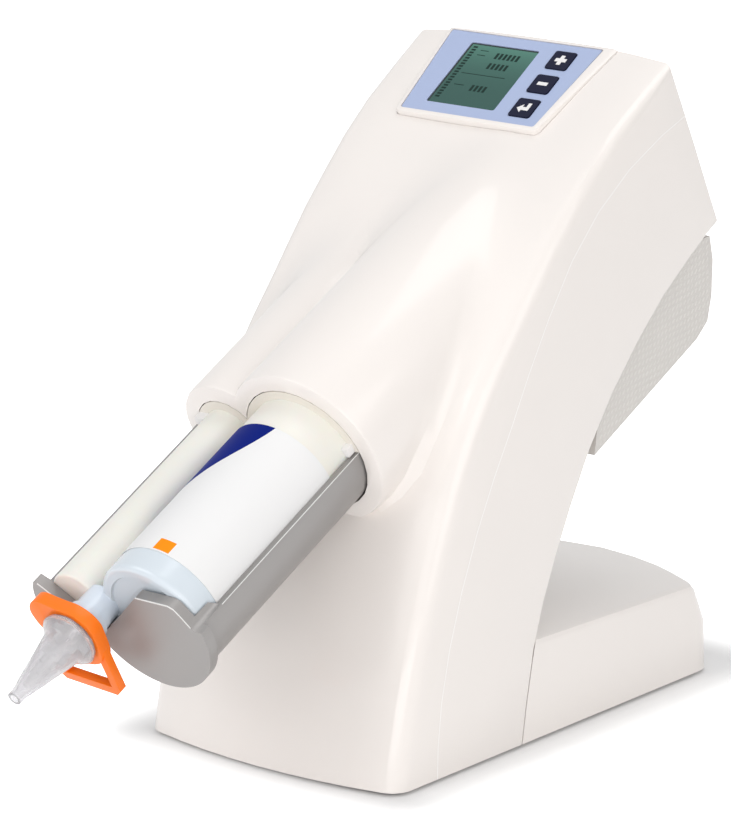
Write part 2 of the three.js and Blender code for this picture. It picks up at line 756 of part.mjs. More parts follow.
// Clearance for the edges of the rear shell that the cover meets
function coverTrims() {
  const [ridge, tip] = [onBody(crestShares[crestShares.length - 1]), onBody(tipShare)];
  const along = tip.clone().sub(ridge).normalize();
  const inward = new THREE.Vector2(along.y, -along.x);
  const depth = shellWall + runGap;
  const end = tip.clone().addScaledVector(along, 2 * shellWall);
  const wall = [ridge, end, end.clone().addScaledVector(inward, depth),
    ridge.clone().addScaledVector(inward, depth)];
  const last = openUnderside().length - 2;
  const column = splineThrough(undersideShares, undersideSteps).slice(last);
  const normals = miters(column);
  const beside = (side, reach) => column.slice(0, -1).map((p, i) => {
    const normal = normals[Math.max(i, 1)];
    return [p.x + side * normal.x * reach, p.y + side * normal.y * reach + (i === 0 ? runGap : 0)];
  });
  const [outer, inner] = [beside(1, runGap), beside(-1, depth)];
  return [wall.map((p) => [p.x, p.y]), [...outer, ...inner.reverse()]]
    .map((outline) => solid(sideSlab(outline, -bodyWidth, bodyWidth)));
}

const rearWallY = (z) => {
  const underside = splineThrough(undersideShares, undersideSteps);
  const i = underside.findIndex((p) => p.y <= z);
  const [a, b] = [underside[i - 1], underside[i]];
  return a.x + ((b.x - a.x) * (a.y - z)) / (a.y - b.y);
};

const rearPanel = new THREE.Group();
rearPanel.position.set(0, rearWallY(rearPanelHeight), rearPanelHeight);
rearPanel.rotation.x = -Math.PI / 2 - rearPanelLean;
rearPanel.updateMatrix();
const inletX = -(switchWidth + switchGap) / 2;
const switchX = (inletWidth + switchGap) / 2;

// A flat plate with rounded corners, its upper face at top
function plateOf(width, depth, corner, bottom, top, x = 0, y = 0) {
  const [w, d] = [width / 2, depth / 2];
  const shape = new THREE.Shape();
  shape.absarc(w - corner, d - corner, corner, 0, Math.PI / 2);
  shape.absarc(-w + corner, d - corner, corner, Math.PI / 2, Math.PI);
  shape.absarc(-w + corner, -d + corner, corner, Math.PI, 1.5 * Math.PI);
  shape.absarc(w - corner, -d + corner, corner, 1.5 * Math.PI, fullTurn);
  const geometry = new THREE.ExtrudeGeometry(shape, { depth: top - bottom, bevelEnabled: false,
    curveSegments: 3 });
  return geometry.translate(x, y, bottom);
}

const onRearPanel = (geometry) => geometry.applyMatrix4(rearPanel.matrix);

// The flat land on the rear wall with the inlet's and the switch's openings
function rearPanelCuts() {
  const landWidth = inletWidth + switchWidth + 4 * switchGap;
  const land = plateOf(landWidth, inletHeight + 2 * switchGap, flangeCorner, -seatDepth, overrun);
  const [inletBodyWidth, openingHeight] = [inletWidth - 2 * flangePlate, inletHeight - 2 * flangePlate];
  const openings = [
    plateOf(inletBodyWidth + 2 * fitGap, openingHeight + 2 * fitGap, flangeCorner, -3 * overrun, overrun,
      inletX),
    plateOf(switchWidth - 2 * flangePlate + 2 * fitGap, openingHeight + 2 * fitGap, flangeCorner,
      -3 * overrun, overrun, switchX),
  ];
  return [land, ...openings].map((geometry) => solid(onRearPanel(geometry)));
}

const panelFrame = new THREE.Group();
panelFrame.position.set(-panelOffset, bodyReach - panelBackset, bodyHeight - panelDrop);
panelFrame.rotation.x = panelTilt;
panelFrame.updateMatrix();

// The film's outline, wider at the back, grown by a margin, with a shoulder at the bezel's right rear corner
function bezelShape(margin) {
  const [back, front] = [panelBackWidth / 2 + margin, panelFrontWidth / 2 + margin];
  const depth = panelDepth / 2 + margin;
  const share = THREE.MathUtils.clamp(margin / bezelRim, 0, 1);
  const corner = THREE.MathUtils.lerp(filmCorner, bezelCorner, share) + Math.max(margin - bezelRim, 0);
  const corners = [[front, -depth], [back + share * bezelShoulder, depth], [-back, depth], [-front, -depth]];
  const shape = new THREE.Shape();
  corners.forEach(([x, y], i) => {
    const [px, py] = corners[(i + 3) % 4];
    const [nx, ny] = corners[(i + 1) % 4];
    const from = new THREE.Vector2(px - x, py - y).setLength(corner);
    const to = new THREE.Vector2(nx - x, ny - y).setLength(corner);
    if (i === 0) shape.moveTo(x + from.x, y + from.y);
    else shape.lineTo(x + from.x, y + from.y);
    shape.quadraticCurveTo(x, y, x + to.x, y + to.y);
  });
  shape.closePath();
  return shape;
}

const keyPlaces = [["key_plus", keyPitch], ["key_minus", 0], ["key_enter", -keyPitch]];

function flatSlab(shape, bottom, top) {
  const settings = { depth: top - bottom, bevelEnabled: false, curveSegments: 3 };
  return new THREE.ExtrudeGeometry(shape, settings).translate(0, 0, bottom);
}

function keyOpenings(bottom, top) {
  return keyPlaces.map(([, y]) => plateOf(keyWidth + 2 * fitGap, keyDepth + 2 * fitGap, keyCorner + fitGap,
    bottom, top, keyOffset, y));
}

function windowOpening(bottom, top) {
  const margin = 2 * fitGap;
  return plateOf(windowWidth + margin, windowDepth + margin, keyCorner, bottom, top, -windowOffset);
}

// What stands behind the head's rear face, in the panel's own frame
function behindHead() {
  const [ridge, tip] = [onBody(crestShares[crestShares.length - 1]), onBody(tipShare)];
  const along = tip.clone().sub(ridge).normalize();
  const inward = new THREE.Vector2(along.y, -along.x);
  const corners = [[-0.5, 2], [4, 2], [4, -6], [-0.5, -6]].map(([run, depth]) => ridge.clone()
    .addScaledVector(along, run * bezelThickness)
    .addScaledVector(inward, depth * shellWall));
  const head = housingSolid(0).translate([0, -along.x * bezelThickness, -along.y * bezelThickness]);
  return solid(sideSlab(corners.map((p) => [p.x, p.y]), -bodyWidth, bodyWidth)).subtract(head)
    .transform(panelFrame.matrix.clone().invert().elements);
}

function displayBezel() {
  const bevel = { bevelThickness: bezelBevel, bevelSize: bezelBevel, bevelOffset: -bezelBevel,
    bevelSegments: 2 };
  const settings = { depth: 2 * bezelThickness, curveSegments: 3, ...bevel };
  const raw = new THREE.ExtrudeGeometry(bezelShape(bezelRim), settings);
  const body = solid(raw.translate(0, 0, -2 * bezelThickness - bezelBevel + bezelRise));
  const below = solid(flatSlab(bezelShape(2 * bezelRim), -4 * bezelThickness, -bezelThickness));
  const recess = flatSlab(bezelShape(fitGap), -overlayThickness - fitGap, overrun);
  const hollow = flatSlab(bezelShape(-boardInset), -2 * bezelThickness, bezelFloor);
  const openings = [windowOpening(-bezelThickness, 0), ...keyOpenings(-bezelThickness, 0)];
  return carved(body, below, behindHead(), solid(recess), solid(hollow), ...openings.map(solid));
}

function controlOverlay() {
  const sheet = solid(flatSlab(bezelShape(0), -overlayThickness, 0));
  const openings = [windowOpening(-overrun, overrun), ...keyOpenings(-overrun, overrun)];
  return carved(sheet, ...openings.map(solid));
}

function controlKey() {
  const cap = plateOf(keyWidth, keyDepth, keyCorner, flangeTop - keyFlange / 2, keyProud);
  const [wide, deep] = [keyWidth + 2 * keyFlangeMargin, keyDepth + 2 * keyFlangeMargin];
  const flange = plateOf(wide, deep, keyCorner, flangeTop - keyFlange, flangeTop);
  const stemTop = flangeTop - keyFlange / 2;
  const stemBottom = boardTop + keyTravel + fitGap;
  const stem = new THREE.CylinderGeometry(keyCorner, keyCorner, stemTop - stemBottom, smallSides)
    .rotateX(Math.PI / 2)
    .translate(0, 0, (stemTop + stemBottom) / 2);
  return joined(solid(cap), solid(flange), solid(stem));
}

// Plan of the foot at one height: straight sides, a bowed rear edge with rounded corners
function footRing(heightShare, slopeShare, insetShare, inset) {
  const half = bodyWidth / 2 - inset - footEdgeRadius * insetShare;
  const corner = footRearReach - footRearBow - footRearSlope * slopeShare - inset;
  const front = footFront;
  const points = [new THREE.Vector2(half, front)];
  const curve = new THREE.CatmullRomCurve3(footArcShares.map(([x, rise]) => {
    return new THREE.Vector3(half * x, corner + footRearBow * rise, 0);
  }));
  curve.getPoints(18).forEach((p) => points.push(new THREE.Vector2(p.x, p.y)));
  points.push(new THREE.Vector2(-half, front));
  return points.map((p) => {
    const top = footHeight + (footFall * (footRearReach - p.y)) / footRearReach - inset;
    return new THREE.Vector3(p.x, p.y, top * heightShare);
  });
}

function footSolid(inset) {
  const rings = footRingShares.map(([height, slope, side]) => footRing(height, slope, side, inset));
  return solid(lofted(rings, (p) => new THREE.Vector2(p.x, p.y)));
}

const bossX = bodyWidth / 2 - shellWall - bossRadius + fitGap;
const bossPlaces = [[bossX, frontBossY], [-bossX, frontBossY], [bossX, rearBossY], [-bossX, rearBossY]];
const plateTop = fitGap + basePlateThickness;

function bossAt([x, y]) {
  const post = new THREE.CylinderGeometry(bossRadius, bossRadius, bossHeight, 20).rotateX(Math.PI / 2);
  const hole = new THREE.CylinderGeometry(bossHole, bossHole, bossHeight, 16).rotateX(Math.PI / 2);
  const middle = plateTop + fitGap + bossHeight / 2;
  const web = new THREE.BoxGeometry(bossRadius, bossRadius, bossHeight);
  web.translate(x + (Math.sign(x) * bossRadius) / 2, y, middle);
  return joined(solid(post.translate(x, y, middle)), solid(web))
    .subtract(solid(hole.translate(x, y, middle)));
}

function baseFoot() {
  const skin = carved(footSolid(0), footSolid(shellWall), groundSlab(-footHeight, 0));
  return joined(skin, ...bossPlaces.slice(2).map(bossAt)).subtract(housingSolid(-seamGap));
}

function groundSlab(bottom, top) {
  return solid(sideSlab([[-footRearReach, bottom], [2 * footRearReach, bottom], [2 * footRearReach, top],
    [-footRearReach, top]], -bodyWidth, bodyWidth));
}

function basePlate() {
  const inside = joined(housingSolid(shellWall + fitGap), footSolid(shellWall + fitGap));
  const sheet = inside.intersect(groundSlab(fitGap, plateTop));
  const holes = bossPlaces.map(([x, y]) => new THREE.CylinderGeometry(bossHole, bossHole, 4 * overrun, 16)
    .rotateX(Math.PI / 2).translate(x, y, 0));
  return carved(sheet, ...holes.map(solid));
}

function housingShells() {
  const skirts = [collarSkirt(baseX, baseCollar), collarSkirt(catalystX, catalystCollar)];
  const shell = joined(housingSolid(0), ...skirts).subtract(housingHollow());
  const pockets = [
    flatSlab(bezelShape(bezelRim + fitGap), -bezelThickness - fitGap, 3 * overrun),
    flatSlab(bezelShape(-shellWall), -bezelThickness - overrun, 0),
  ].map((geometry) => solid(geometry.applyMatrix4(panelFrame.matrix)));
  const front = carved(shell.intersect(frontRegion(-seamGap / 2)), ...pockets);
  const half = bodyWidth / 2 - shellWall;
  const opening = solid(sideSlab(underOpening(), -half, half));
  const plateSlot = solid(new THREE.BoxGeometry(2 * half, 4 * overrun, 2 * (plateTop + fitGap))
    .translate(0, rearWallY(plateTop), 0));
  const rear = carved(shell.subtract(frontRegion(seamGap / 2)), opening, plateSlot, ...rearPanelCuts());
  return { front: joined(front, ...bossPlaces.slice(0, 2).map(bossAt)), rear };
}

function powerInlet() {
  const [bodyW, bodyH] = [inletWidth - 2 * flangePlate, inletHeight - 2 * flangePlate];
  const flange = plateOf(inletWidth, inletHeight, flangeCorner, inletSeat, inletSeat + flangePlate);
  const body = plateOf(bodyW, bodyH, flangeCorner, -inletDepth, inletSeat + flangePlate / 2);
  const socket = plateOf(bodyW - 2 * flangePlate, bodyH - 2 * flangePlate, flangeCorner,
    -inletDepth + flangePlate,
    overrun);
  const pins = [-1, 0, 1].map((side) => new THREE.BoxGeometry(pinWidth, 2 * pinWidth, inletDepth - pinRecess)
    .translate(side * pinPitch, side === 0 ? -pinWidth : pinWidth,
      -(inletDepth + pinRecess) / 2 + flangePlate / 2));
  return joined(joined(solid(flange), solid(body)).subtract(solid(socket)), ...pins.map(solid));
}

function switchFrame() {
  const height = inletHeight;
  const flange = plateOf(switchWidth, height, flangeCorner, inletSeat, inletSeat + flangePlate);
  const body = plateOf(switchWidth - 2 * flangePlate, height - 2 * flangePlate, flangeCorner, -inletDepth,
    inletSeat + flangePlate / 2);
  const well = new THREE.BoxGeometry(rockerWidth + 2 * fitGap, rockerLength + 2 * runGap, 2 * inletDepth);
  return joined(solid(flange), solid(body)).subtract(solid(well));
}

// The rocker in side view: two low wings about its pivot
function rocker() {
  const [reach, drop] = [rockerLength / 2, rockerReach * Math.tan(rockerTilt)];
  const top = inletSeat + flangePlate + rockerProud;
  const low = rockerRootShare * reach;
  const outline = [[-reach, top], [0, top - drop], [reach, top], [low, -rockerDrop], [-low, -rockerDrop]];
  return sideSlab(outline, -rockerWidth / 2, rockerWidth / 2);
}

function powerSupply() {
  const y0 = rearWallY(footHeight) + supplySetback;
  const z0 = plateTop + fitGap;
  const feet = [-1, 1].map((side) => new THREE.BoxGeometry(legThickness, supplyLength, supplyRail)
    .translate((side * supplyWidth) / 3, y0 + supplyLength / 2, z0 + supplyRail / 2));
  const tray = new THREE.BoxGeometry(supplyWidth, supplyLength, supplyHeight)
    .translate(0, y0 + supplyLength / 2, z0 + supplyRail + supplyHeight / 2 - fitGap);
  return joined(solid(tray), ...feet.map(solid));
}

const legFront = legFrontShare * bodyReach;

function pedestal(side) {
  const top = -(bedDrop + bedThickness + fitGap);
  const y1 = legTopShare * bodyReach;
  const y2 = y1 + legTopDepth;
  const outline = [[legFront, plateTop + fitGap], [legFront + legDepth, plateTop + fitGap],
    [y2, slopeHeight(y2, top)], [y1, slopeHeight(y1, top)]];
  const x = side * legSpread;
  return sideSlab(outline, x - legThickness / 2, x + legThickness / 2);
}

function mainBoard() {
  const x = legSpread + legThickness / 2 + fitGap;
  const [y0, z0] = [legFront + legThickness, plateTop + 2 * legThickness];
  const sheet = new THREE.BoxGeometry(boardThickness, boardLength, boardHeight)
    .translate(x + standoff + boardThickness / 2, y0 + boardLength / 2, z0 + boardHeight / 2);
  const posts = [[0.12, 0.1], [0.88, 0.1], [0.25, 0.6], [0.95, 0.6]].map(([v, w]) => {
    return new THREE.CylinderGeometry(standoff / 3, standoff / 3, standoff + boardThickness / 2, 12)
      .rotateZ(Math.PI / 2)
      .translate(x + (standoff + boardThickness / 2) / 2, y0 + boardLength * v, z0 + boardHeight * w);
  });
  const chips = [[0.3, 0.35], [0.7, 0.3], [0.6, 0.75]].map(([v, w]) => {
    return new THREE.BoxGeometry(chipHeight + boardThickness / 2, boardLength / 5, boardHeight / 6)
      .translate(x + standoff + boardThickness + chipHeight / 2 - boardThickness / 4, y0 + boardLength * v,
        z0 + boardHeight * w);
  });
  return joined(solid(sheet), ...posts.map(solid), ...chips.map(solid));
}

function controlBoard() {
  const sheet = flatSlab(bezelShape(-boardInset - fitGap), boardTop - boardThickness, boardTop);
  const chips = [[-0.3, 0.25], [0.1, -0.2]].map(([x, y]) => new THREE.BoxGeometry(
    panelDepth / 4, panelDepth / 5, chipHeight + boardThickness / 2,
  ).translate(x * panelFrontWidth, y * panelDepth, boardTop - boardThickness - chipHeight / 2));
  return joined(solid(sheet), ...chips.map(solid));
}

// Room inside the housing, for the plates that reach its walls
function innerRoom() {
  const reach = [-6 * collarDepth, -collarDepth];
  const rooms = [
    rod(baseCollar - shellWall - fitGap, ...reach, baseX, 0, wideSides),
    rod(catalystCollar - shellWall - fitGap, ...reach, catalystX, 0, slimSides),
  ];
  const panelRoom = flatSlab(bezelShape(bezelRim + fitGap), boardTop - boardThickness - chipHeight - runGap,
    overrun)
    .applyMatrix4(panelFrame.matrix);
  return joined(housingSolid(shellWall + fitGap), ...rooms.map((geometry) => solid(inBody(geometry))))
    .subtract(solid(panelRoom));
}

const toDrive = toBody.clone().invert();

function crossPlate(outline, s0, s1) {
  return solid(inBody(crossSlab(outline, s0, s1))).intersect(innerRoom()).transform(toDrive.elements);
}

const bedShift = -driveX;
const [bedLeft, bedRight] = [bedShift - bedWidth / 2, bedShift + bedWidth / 2];
const plateOutline = (low, high) => [[bedLeft, low], [bedRight, low], [bedRight, high], [bedLeft, high]];
const rodPlaces = [bedShift - guideSpread, bedShift + guideSpread];
const innerBase = baseBarrelRadius - baseWall;
const innerCatalyst = catalystBarrelRadius - catalystWall;

function frontBulkhead() {
  const sheet = crossPlate(plateOutline(-bedDrop + fitGap, innerBase), bulkheadRear, bulkheadFront);
  const through = [bulkheadRear - overrun, bulkheadFront + overrun];
  const rackPassage = (x, width) => block(x - width / 2 - runGap, x + width / 2 + runGap, ...through,
    -rackPitchDrop - rackModule - runGap, rackHalf + runGap);
  const cuts = [
    rackPassage(baseX, baseRackWidth),
    rackPassage(catalystX, catalystRackWidth),
    rod(bushRadius + fitGap, ...through, 0, 0, slimSides),
    ...rodPlaces.map((x) => rod(guideRodRadius + fitGap, ...through, x, 0, smallSides)),
  ];
  return carved(sheet, ...cuts.map(solid));
}

function rearBulkhead() {
  const sheet = crossPlate(plateOutline(-bedDrop + fitGap, innerBase), rearBulkheadRear, rearBulkheadFront);
  const through = [rearBulkheadRear - overrun, rearBulkheadFront + overrun];
  const cuts = [
    rod(shaftTailRadius + 2 * runGap, ...through, 0, 0, slimSides),
    ...rodPlaces.map((x) => rod(guideRodRadius + fitGap, ...through, x, 0, smallSides)),
  ];
  return carved(sheet, ...cuts.map(solid));
}

function driveBed() {
  return crossPlate(plateOutline(-bedDrop - bedThickness, -bedDrop), rearBulkheadRear, bulkheadFront);
}

function guideRod(x) {
  return rod(guideRodRadius, rearBulkheadRear, bulkheadFront, x, 0, smallSides);
}

function shaftBush() {
  const flange = bulkheadThickness / 2;
  const inner = shaftTailRadius + fitGap;
  return turned([
    [inner, bulkheadRear - flange], [bushRadius + flange, bulkheadRear - flange],
    [bushRadius + flange, bulkheadRear - fitGap], [bushRadius, bulkheadRear - fitGap],
    [bushRadius, bulkheadFront],
    [inner, bulkheadFront], [inner, bulkheadRear - flange],
  ], smallSides);
}

// The mixer shaft: thick at the drive end, slim where it passes between the barrels
function mixerShaft() {
  const shoulderEnd = bulkheadFront;
  const tail = rod(shaftTailRadius, rearBulkheadRear - fitGap, shoulderEnd, 0, 0, smallSides);
  const slim = new THREE.CylinderGeometry(shaftRadius, shaftRadius,
    rotorSeat + shaftSocket - shoulderEnd + overrun, 6);
  slim.translate(0, -(rotorSeat + shaftSocket + shoulderEnd - overrun) / 2, 0);
  return joined(solid(tail), solid(slim));
}

function mixerMotor() {
  const front = rearBulkheadRear - 2 * fitGap;
  const back = front - mixerMotorLength;
  const step = mixerMotorRadius * 0.2;
  return turned([
    [0, back], [mixerMotorRadius - step, back], [mixerMotorRadius, back + step],
    [mixerMotorRadius, front - step],
    [mixerMotorRadius - step, front - step], [mixerMotorRadius - step, front], [0, front],
  ], slimSides);
}

// One gear wheel about X, a tooth's middle at the given angle from the rear-going level line
function gearShape(teeth, module, angle, bore) {
  const pitch = (module * teeth) / 2;
  const shape = new THREE.Shape();
  const step = fullTurn / teeth;
  const half = (share, radius) => (share * Math.PI * module) / (2 * radius);
  const [root, tip] = [pitch - toothRootShare * module, pitch + toothTopShare * module];
  for (let i = 0; i < teeth; i++) {
    const middle = angle + i * step;
    const places = [[root, -half(rootShare, root)], [pitch, -half(pitchShare, pitch)],
      [tip, -half(tipToothShare, tip)],
      [tip, half(tipToothShare, tip)], [pitch, half(pitchShare, pitch)], [root, half(rootShare, root)]];
    for (const [radius, turn] of places) {
      const [y, z] = [radius * Math.cos(middle + turn), radius * Math.sin(middle + turn)];
      if (i === 0 && turn === places[0][1]) shape.moveTo(y, z);
      else shape.lineTo(y, z);
    }
  }
  shape.closePath();
  if (bore > 0) shape.holes.push(new THREE.Path().absarc(0, 0, bore, 0, fullTurn, true));
  return shape;
}

const shaftBore = feedShaftRadius + fitGap;

function rackPinion(x, width) {
  const shape = gearShape(rackPinionTeeth, rackModule, Math.PI / 2, shaftBore);
  return sideSlab(shape, x - width / 2, x + width / 2).translate(0, feedShaftReach, feedShaftH);
}

function feedGear() {
  const shape = gearShape(feedGearTeeth, feedModule, -meshAngle, shaftBore);
  return sideSlab(shape, feedGearX, feedGearX + gearWidth).translate(0, feedShaftReach, feedShaftH);
}

const centreDistance = feedGearRadius + motorPinionRadius + meshGap;
const motorReach = feedShaftReach + centreDistance * Math.cos(meshAngle);
const motorH = feedShaftH - centreDistance * Math.sin(meshAngle);
const motorX = feedGearX + gearWidth + bracketThickness + 3 * runGap;

function motorPinion() {
  const toothTurn = Math.PI / motorPinionTeeth;
  const shape = gearShape(motorPinionTeeth, feedModule, Math.PI - meshAngle + toothTurn, 0);
  const wheel = sideSlab(shape, feedGearX, feedGearX + gearWidth).translate(0, motorReach, motorH);
  const stub = crossRod(motorStub, feedGearX, motorX - fitGap, -motorReach, motorH);
  return joined(solid(wheel), solid(stub));
}

function feedMotor() {
  const body = crossRod(feedMotorRadius, motorX, motorX + feedMotorLength, -motorReach, motorH, 32);
  const cap = crossRod(feedMotorRadius * 0.6, motorX + feedMotorLength - overrun,
    motorX + feedMotorLength + overrun / 2,
    -motorReach, motorH, 24);
  return joined(solid(body), solid(cap));
}

function motorBracket() {
  const x0 = motorX - bracketThickness - fitGap;
  const low = bedTop + fitGap;
  const upright = block(x0, x0 + bracketThickness, -motorReach - feedMotorRadius,
    -motorReach + feedMotorRadius, low,
    motorH + feedMotorRadius * 0.8);
  const footing = block(x0, x0 + feedMotorLength / 2, -motorReach - feedMotorRadius,
    -motorReach + feedMotorRadius, low,
    low + bracketThickness);
  const hole = crossRod(motorStub + runGap, x0 - overrun, x0 + 2 * overrun, -motorReach, motorH);
  const saddle = crossRod(feedMotorRadius + fitGap, motorX - fitGap, motorX + feedMotorLength, -motorReach,
    motorH, 32);
  return joined(solid(upright), solid(footing)).subtract(solid(hole)).subtract(solid(saddle));
}

function bearingBlock(x) {
  const half = 2 * feedShaftRadius;
  const sideX = x - bearingThickness / 2;
  const body = block(sideX, sideX + bearingThickness, -feedShaftReach - half, -feedShaftReach + half,
    bedTop + fitGap,
    feedShaftH + half);
  const bore = crossRod(shaftBore, sideX - overrun, sideX + bearingThickness + overrun, -feedShaftReach,
    feedShaftH, 24);
  return solid(body).subtract(solid(bore));
}

function pinionShaft() {
  const reach = guideSpread + bearingThickness / 2;
  return crossRod(feedShaftRadius, bedShift - reach, bedShift + reach, -feedShaftReach, feedShaftH, 24);
}

// A rack with its teeth underneath, one gap of it over the pinion's top tooth at rest
function plungerRack(x, width) {
  const pitch = Math.PI * rackModule;
  const front = plungerRear - fitGap;
  const outline = [];
  const line = -rackPitchDrop;
  const [tip, root] = [line - toothTopShare * rackModule, line + toothRootShare * rackModule];
  const first = 1 - Math.ceil((-feedShaftReach - front) / pitch);
  const count = Math.floor((-yokeFront - feedShaftReach) / pitch) - 1;
  outline.push([-front, root]);
  for (let k = first; k < count; k++) {
    const middle = feedShaftReach + (k + 0.5) * pitch;
    for (const [share, h] of [[-rootShare, root], [-pitchShare, line], [-tipToothShare, tip],
      [tipToothShare, tip],
      [pitchShare, line], [rootShare, root]]) {
      outline.push([middle + (share * pitch) / 2, h]);
    }
  }
  outline.push([-yokeFront - fitGap, root], [-yokeFront - fitGap, rackHalf], [-front, rackHalf]);
  return sideSlab(outline, x - width / 2, x + width / 2);
}

function plungerDisc(radius, x) {
  const edge = plungerThickness / 4;
  return turned([
    [0, plungerRear], [radius - edge, plungerRear], [radius, plungerRear + edge],
    [radius, plungerFront - edge],
    [radius - edge, plungerFront], [0, plungerFront],
  ], slimSides, x);
}

function plungerYoke() {
  const half = guideSpread + guideRodRadius + 2 * runGap;
  const bar = block(bedShift - half, bedShift + half, yokeRear, yokeFront, -yokeHeight / 2, yokeHeight / 2);
  const through = [yokeRear - overrun, yokeFront + overrun];
  const holes = rodPlaces.map((x) => rod(guideRodRadius + runGap, ...through, x, 0, smallSides));
  const middle = rod(shaftTailRadius + 2 * runGap, ...through, 0, 0, smallSides);
  const relief = crossRod(feedGearTip + runGap, feedGearX - runGap, feedGearX + gearWidth + runGap,
    -feedShaftReach - feedTravel, feedShaftH, wideSides);
  return carved(solid(bar), solid(middle), solid(relief), ...holes.map(solid));
}

// The cartridge: two barrels on a shared front wall with its neck and bayonet head
function cartridge() {
  const flangeRear = -flangeThickness;
  const outside = [
    rod(baseBarrelRadius, -barrelTail, shoulder - baseWall, baseX, 0, wideSides),
    rod(baseBarrelRadius - baseWall, shoulder - 2 * baseWall, shoulder, baseX, 0, wideSides),
    rod(catalystBarrelRadius, -barrelTail, shoulder, catalystX, 0, slimSides),
    rod(neckRadius, barrelReach, headRear + baseWall, 0, 0, slimSides),
    rod(headRadius, headRear, headFront, 0, 0, slimSides),
  ];
  const flange = joined(
    solid(rod(baseFlangeRadius, flangeRear, 0, baseX, 0, wideSides)),
    solid(rod(catalystFlangeRadius, flangeRear, 0, catalystX, 0, slimSides)),
  ).subtract(solid(block(-bodyWidth, bodyWidth, flangeRear - overrun, overrun, -bodyHeight,
    carrierLip + runGap)));
  const reach = [baseX + baseFlangeRadius, catalystX - catalystFlangeRadius];
  const [lugFoot, lugHeight] = [carrierLip + runGap, lugHeightShare * lugSize];
  const lugs = reach.map((edge) => {
    const x = edge - Math.sign(edge) * lugSize;
    return block(x - lugSize / 2, x + lugSize / 2, flangeRear, lugHeight, lugFoot, lugFoot + lugHeight);
  });
  const bridge = block(catalystX, baseX, barrelReach, shoulder, -neckRadius * 0.5, neckRadius * 0.5);
  const body = joined(...outside.map(solid), flange, ...lugs.map(solid), solid(bridge));
  const baseOutlet = shaftRadius + neckBoreGap + baseOutletRadius + runGap;
  const catalystOutlet = -(shaftRadius + neckBoreGap + catalystOutletRadius + runGap);
  const hollows = [
    rod(innerBase, -barrelTail - overrun, barrelReach, baseX, 0, wideSides),
    rod(innerCatalyst, -barrelTail - overrun, barrelReach, catalystX, 0, slimSides),
    rod(shaftRadius + runGap, -barrelTail - overrun, headFront + overrun, 0, 0, smallSides),
    rod(baseOutletRadius, barrelReach - overrun, headFront + overrun, baseOutlet, 0, smallSides),
    rod(catalystOutletRadius, barrelReach - overrun, headFront + overrun, catalystOutlet, 0, smallSides),
  ];
  return carved(body, ...hollows.map(solid));
}

function cartridgeLabel() {
  const [inner, outer] = [baseBarrelRadius + labelGap, baseBarrelRadius + labelGap + labelThickness];
  return turned([[inner, labelRear], [outer, labelRear], [outer, labelFront], [inner, labelFront],
    [inner, labelRear]],
    wideSides, baseX);
}

function piston(radius, x) {
  const front = pistonRear + pistonThickness;
  const wall = radius * 0.16;
  return turned([
    [0, pistonRear + pistonCup], [radius - wall, pistonRear + pistonCup], [radius - wall, pistonRear],
    [radius, pistonRear], [radius, front - wall], [radius - wall, front], [0, front],
  ], slimSides, x);
}

const baseTrough = baseBarrelRadius + labelGap + labelThickness + carrierGap;
const catalystTrough = catalystBarrelRadius + carrierGap;

// The carrier: a double trough with a notched plate that holds the cartridge's front wall
function cartridgeCarrier() {
  const [baseOut, catalystOut] = [baseTrough + carrierWall, catalystTrough + carrierWall];
  const trough = joined(
    solid(rod(baseOut, -carrierTail, plateFront, baseX, 0, wideSides)),
    solid(rod(catalystOut, -carrierTail, plateFront, catalystX, 0, slimSides)),
  );
  const plates = joined(
    solid(rod(baseOut + endPlateFlare, plateRear, plateFront, baseX, 0, wideSides)),
    solid(rod(catalystOut + endPlateFlare, plateRear, plateFront, catalystX, 0, slimSides)),
  );
  const hollows = [
    rod(baseTrough, -carrierTail - overrun, plateRear, baseX, 0, wideSides),
    rod(catalystTrough, -carrierTail - overrun, plateRear, catalystX, 0, slimSides),
  ];
  const big = 2 * baseOut;
  const webTop = -(shaftRadius + 2 * runGap);
  const tail = carrierTail + overrun;
  const lip = (top, plate) => [[-plateRear, plate], [-plateRear + lipRise, top], [tail, top], [tail, big],
    [-plateRear, big]];
  const open = joined(
    solid(sideSlab(lip(carrierLip, endPlateTop), baseX, baseX + big)),
    solid(sideSlab(lip(carrierLip / 2, smallPlateTop), catalystX - big, catalystX)),
    solid(block(catalystX - fitGap, baseX + fitGap, -tail, plateRear, webTop, big)),
    solid(block(catalystX - fitGap, baseX + big, plateRear - overrun, plateFront + overrun, endPlateTop,
      big)),
    solid(block(catalystX - big, catalystX, plateRear - overrun, plateFront + overrun, smallPlateTop, big)),
  );
  const notch = neckRadius + runGap;
  const left = -notch - endPlateTop * Math.tan(notchLeftLean);
  const right = notch + endPlateTop * Math.tan(notchRightLean);
  const vee = crossSlab([[-notch, 0], [notch, 0], [right, endPlateTop], [right, big], [left, big],
    [left, endPlateTop]],
    plateRear - overrun, plateFront + overrun);
  const round = rod(notch, plateRear - overrun, plateFront + overrun, 0, 0, slimSides);
  return carved(joined(trough, plates), ...hollows.map(solid), open, solid(vee), solid(round));
}

// Profile of the mixing tip from its seat to its mouth
function tipProfile(inset) {
  return tipShares.map(([s, radius]) => [Math.max(radius * tipBellRadius - inset, tipMouthRadius - inset),
    tipRear + s * tipLength]);
}

function mixingTip() {
  const outer = tipProfile(0);
  const inner = tipProfile(tipWall).reverse();
  return turned([...outer, ...inner, outer[0]], slimSides);
}

function rotorRadiusAt(s) {
  const profile = tipProfile(tipWall + runGap);
  for (let i = 1; i < profile.length; i++) {
    const [[r0, s0], [r1, s1]] = [profile[i - 1], profile[i]];
    if (s >= s0 && s <= s1) return r0 + ((r1 - r0) * (s - s0)) / (s1 - s0);
  }
  return tipMouthRadius - tipWall - runGap;
}

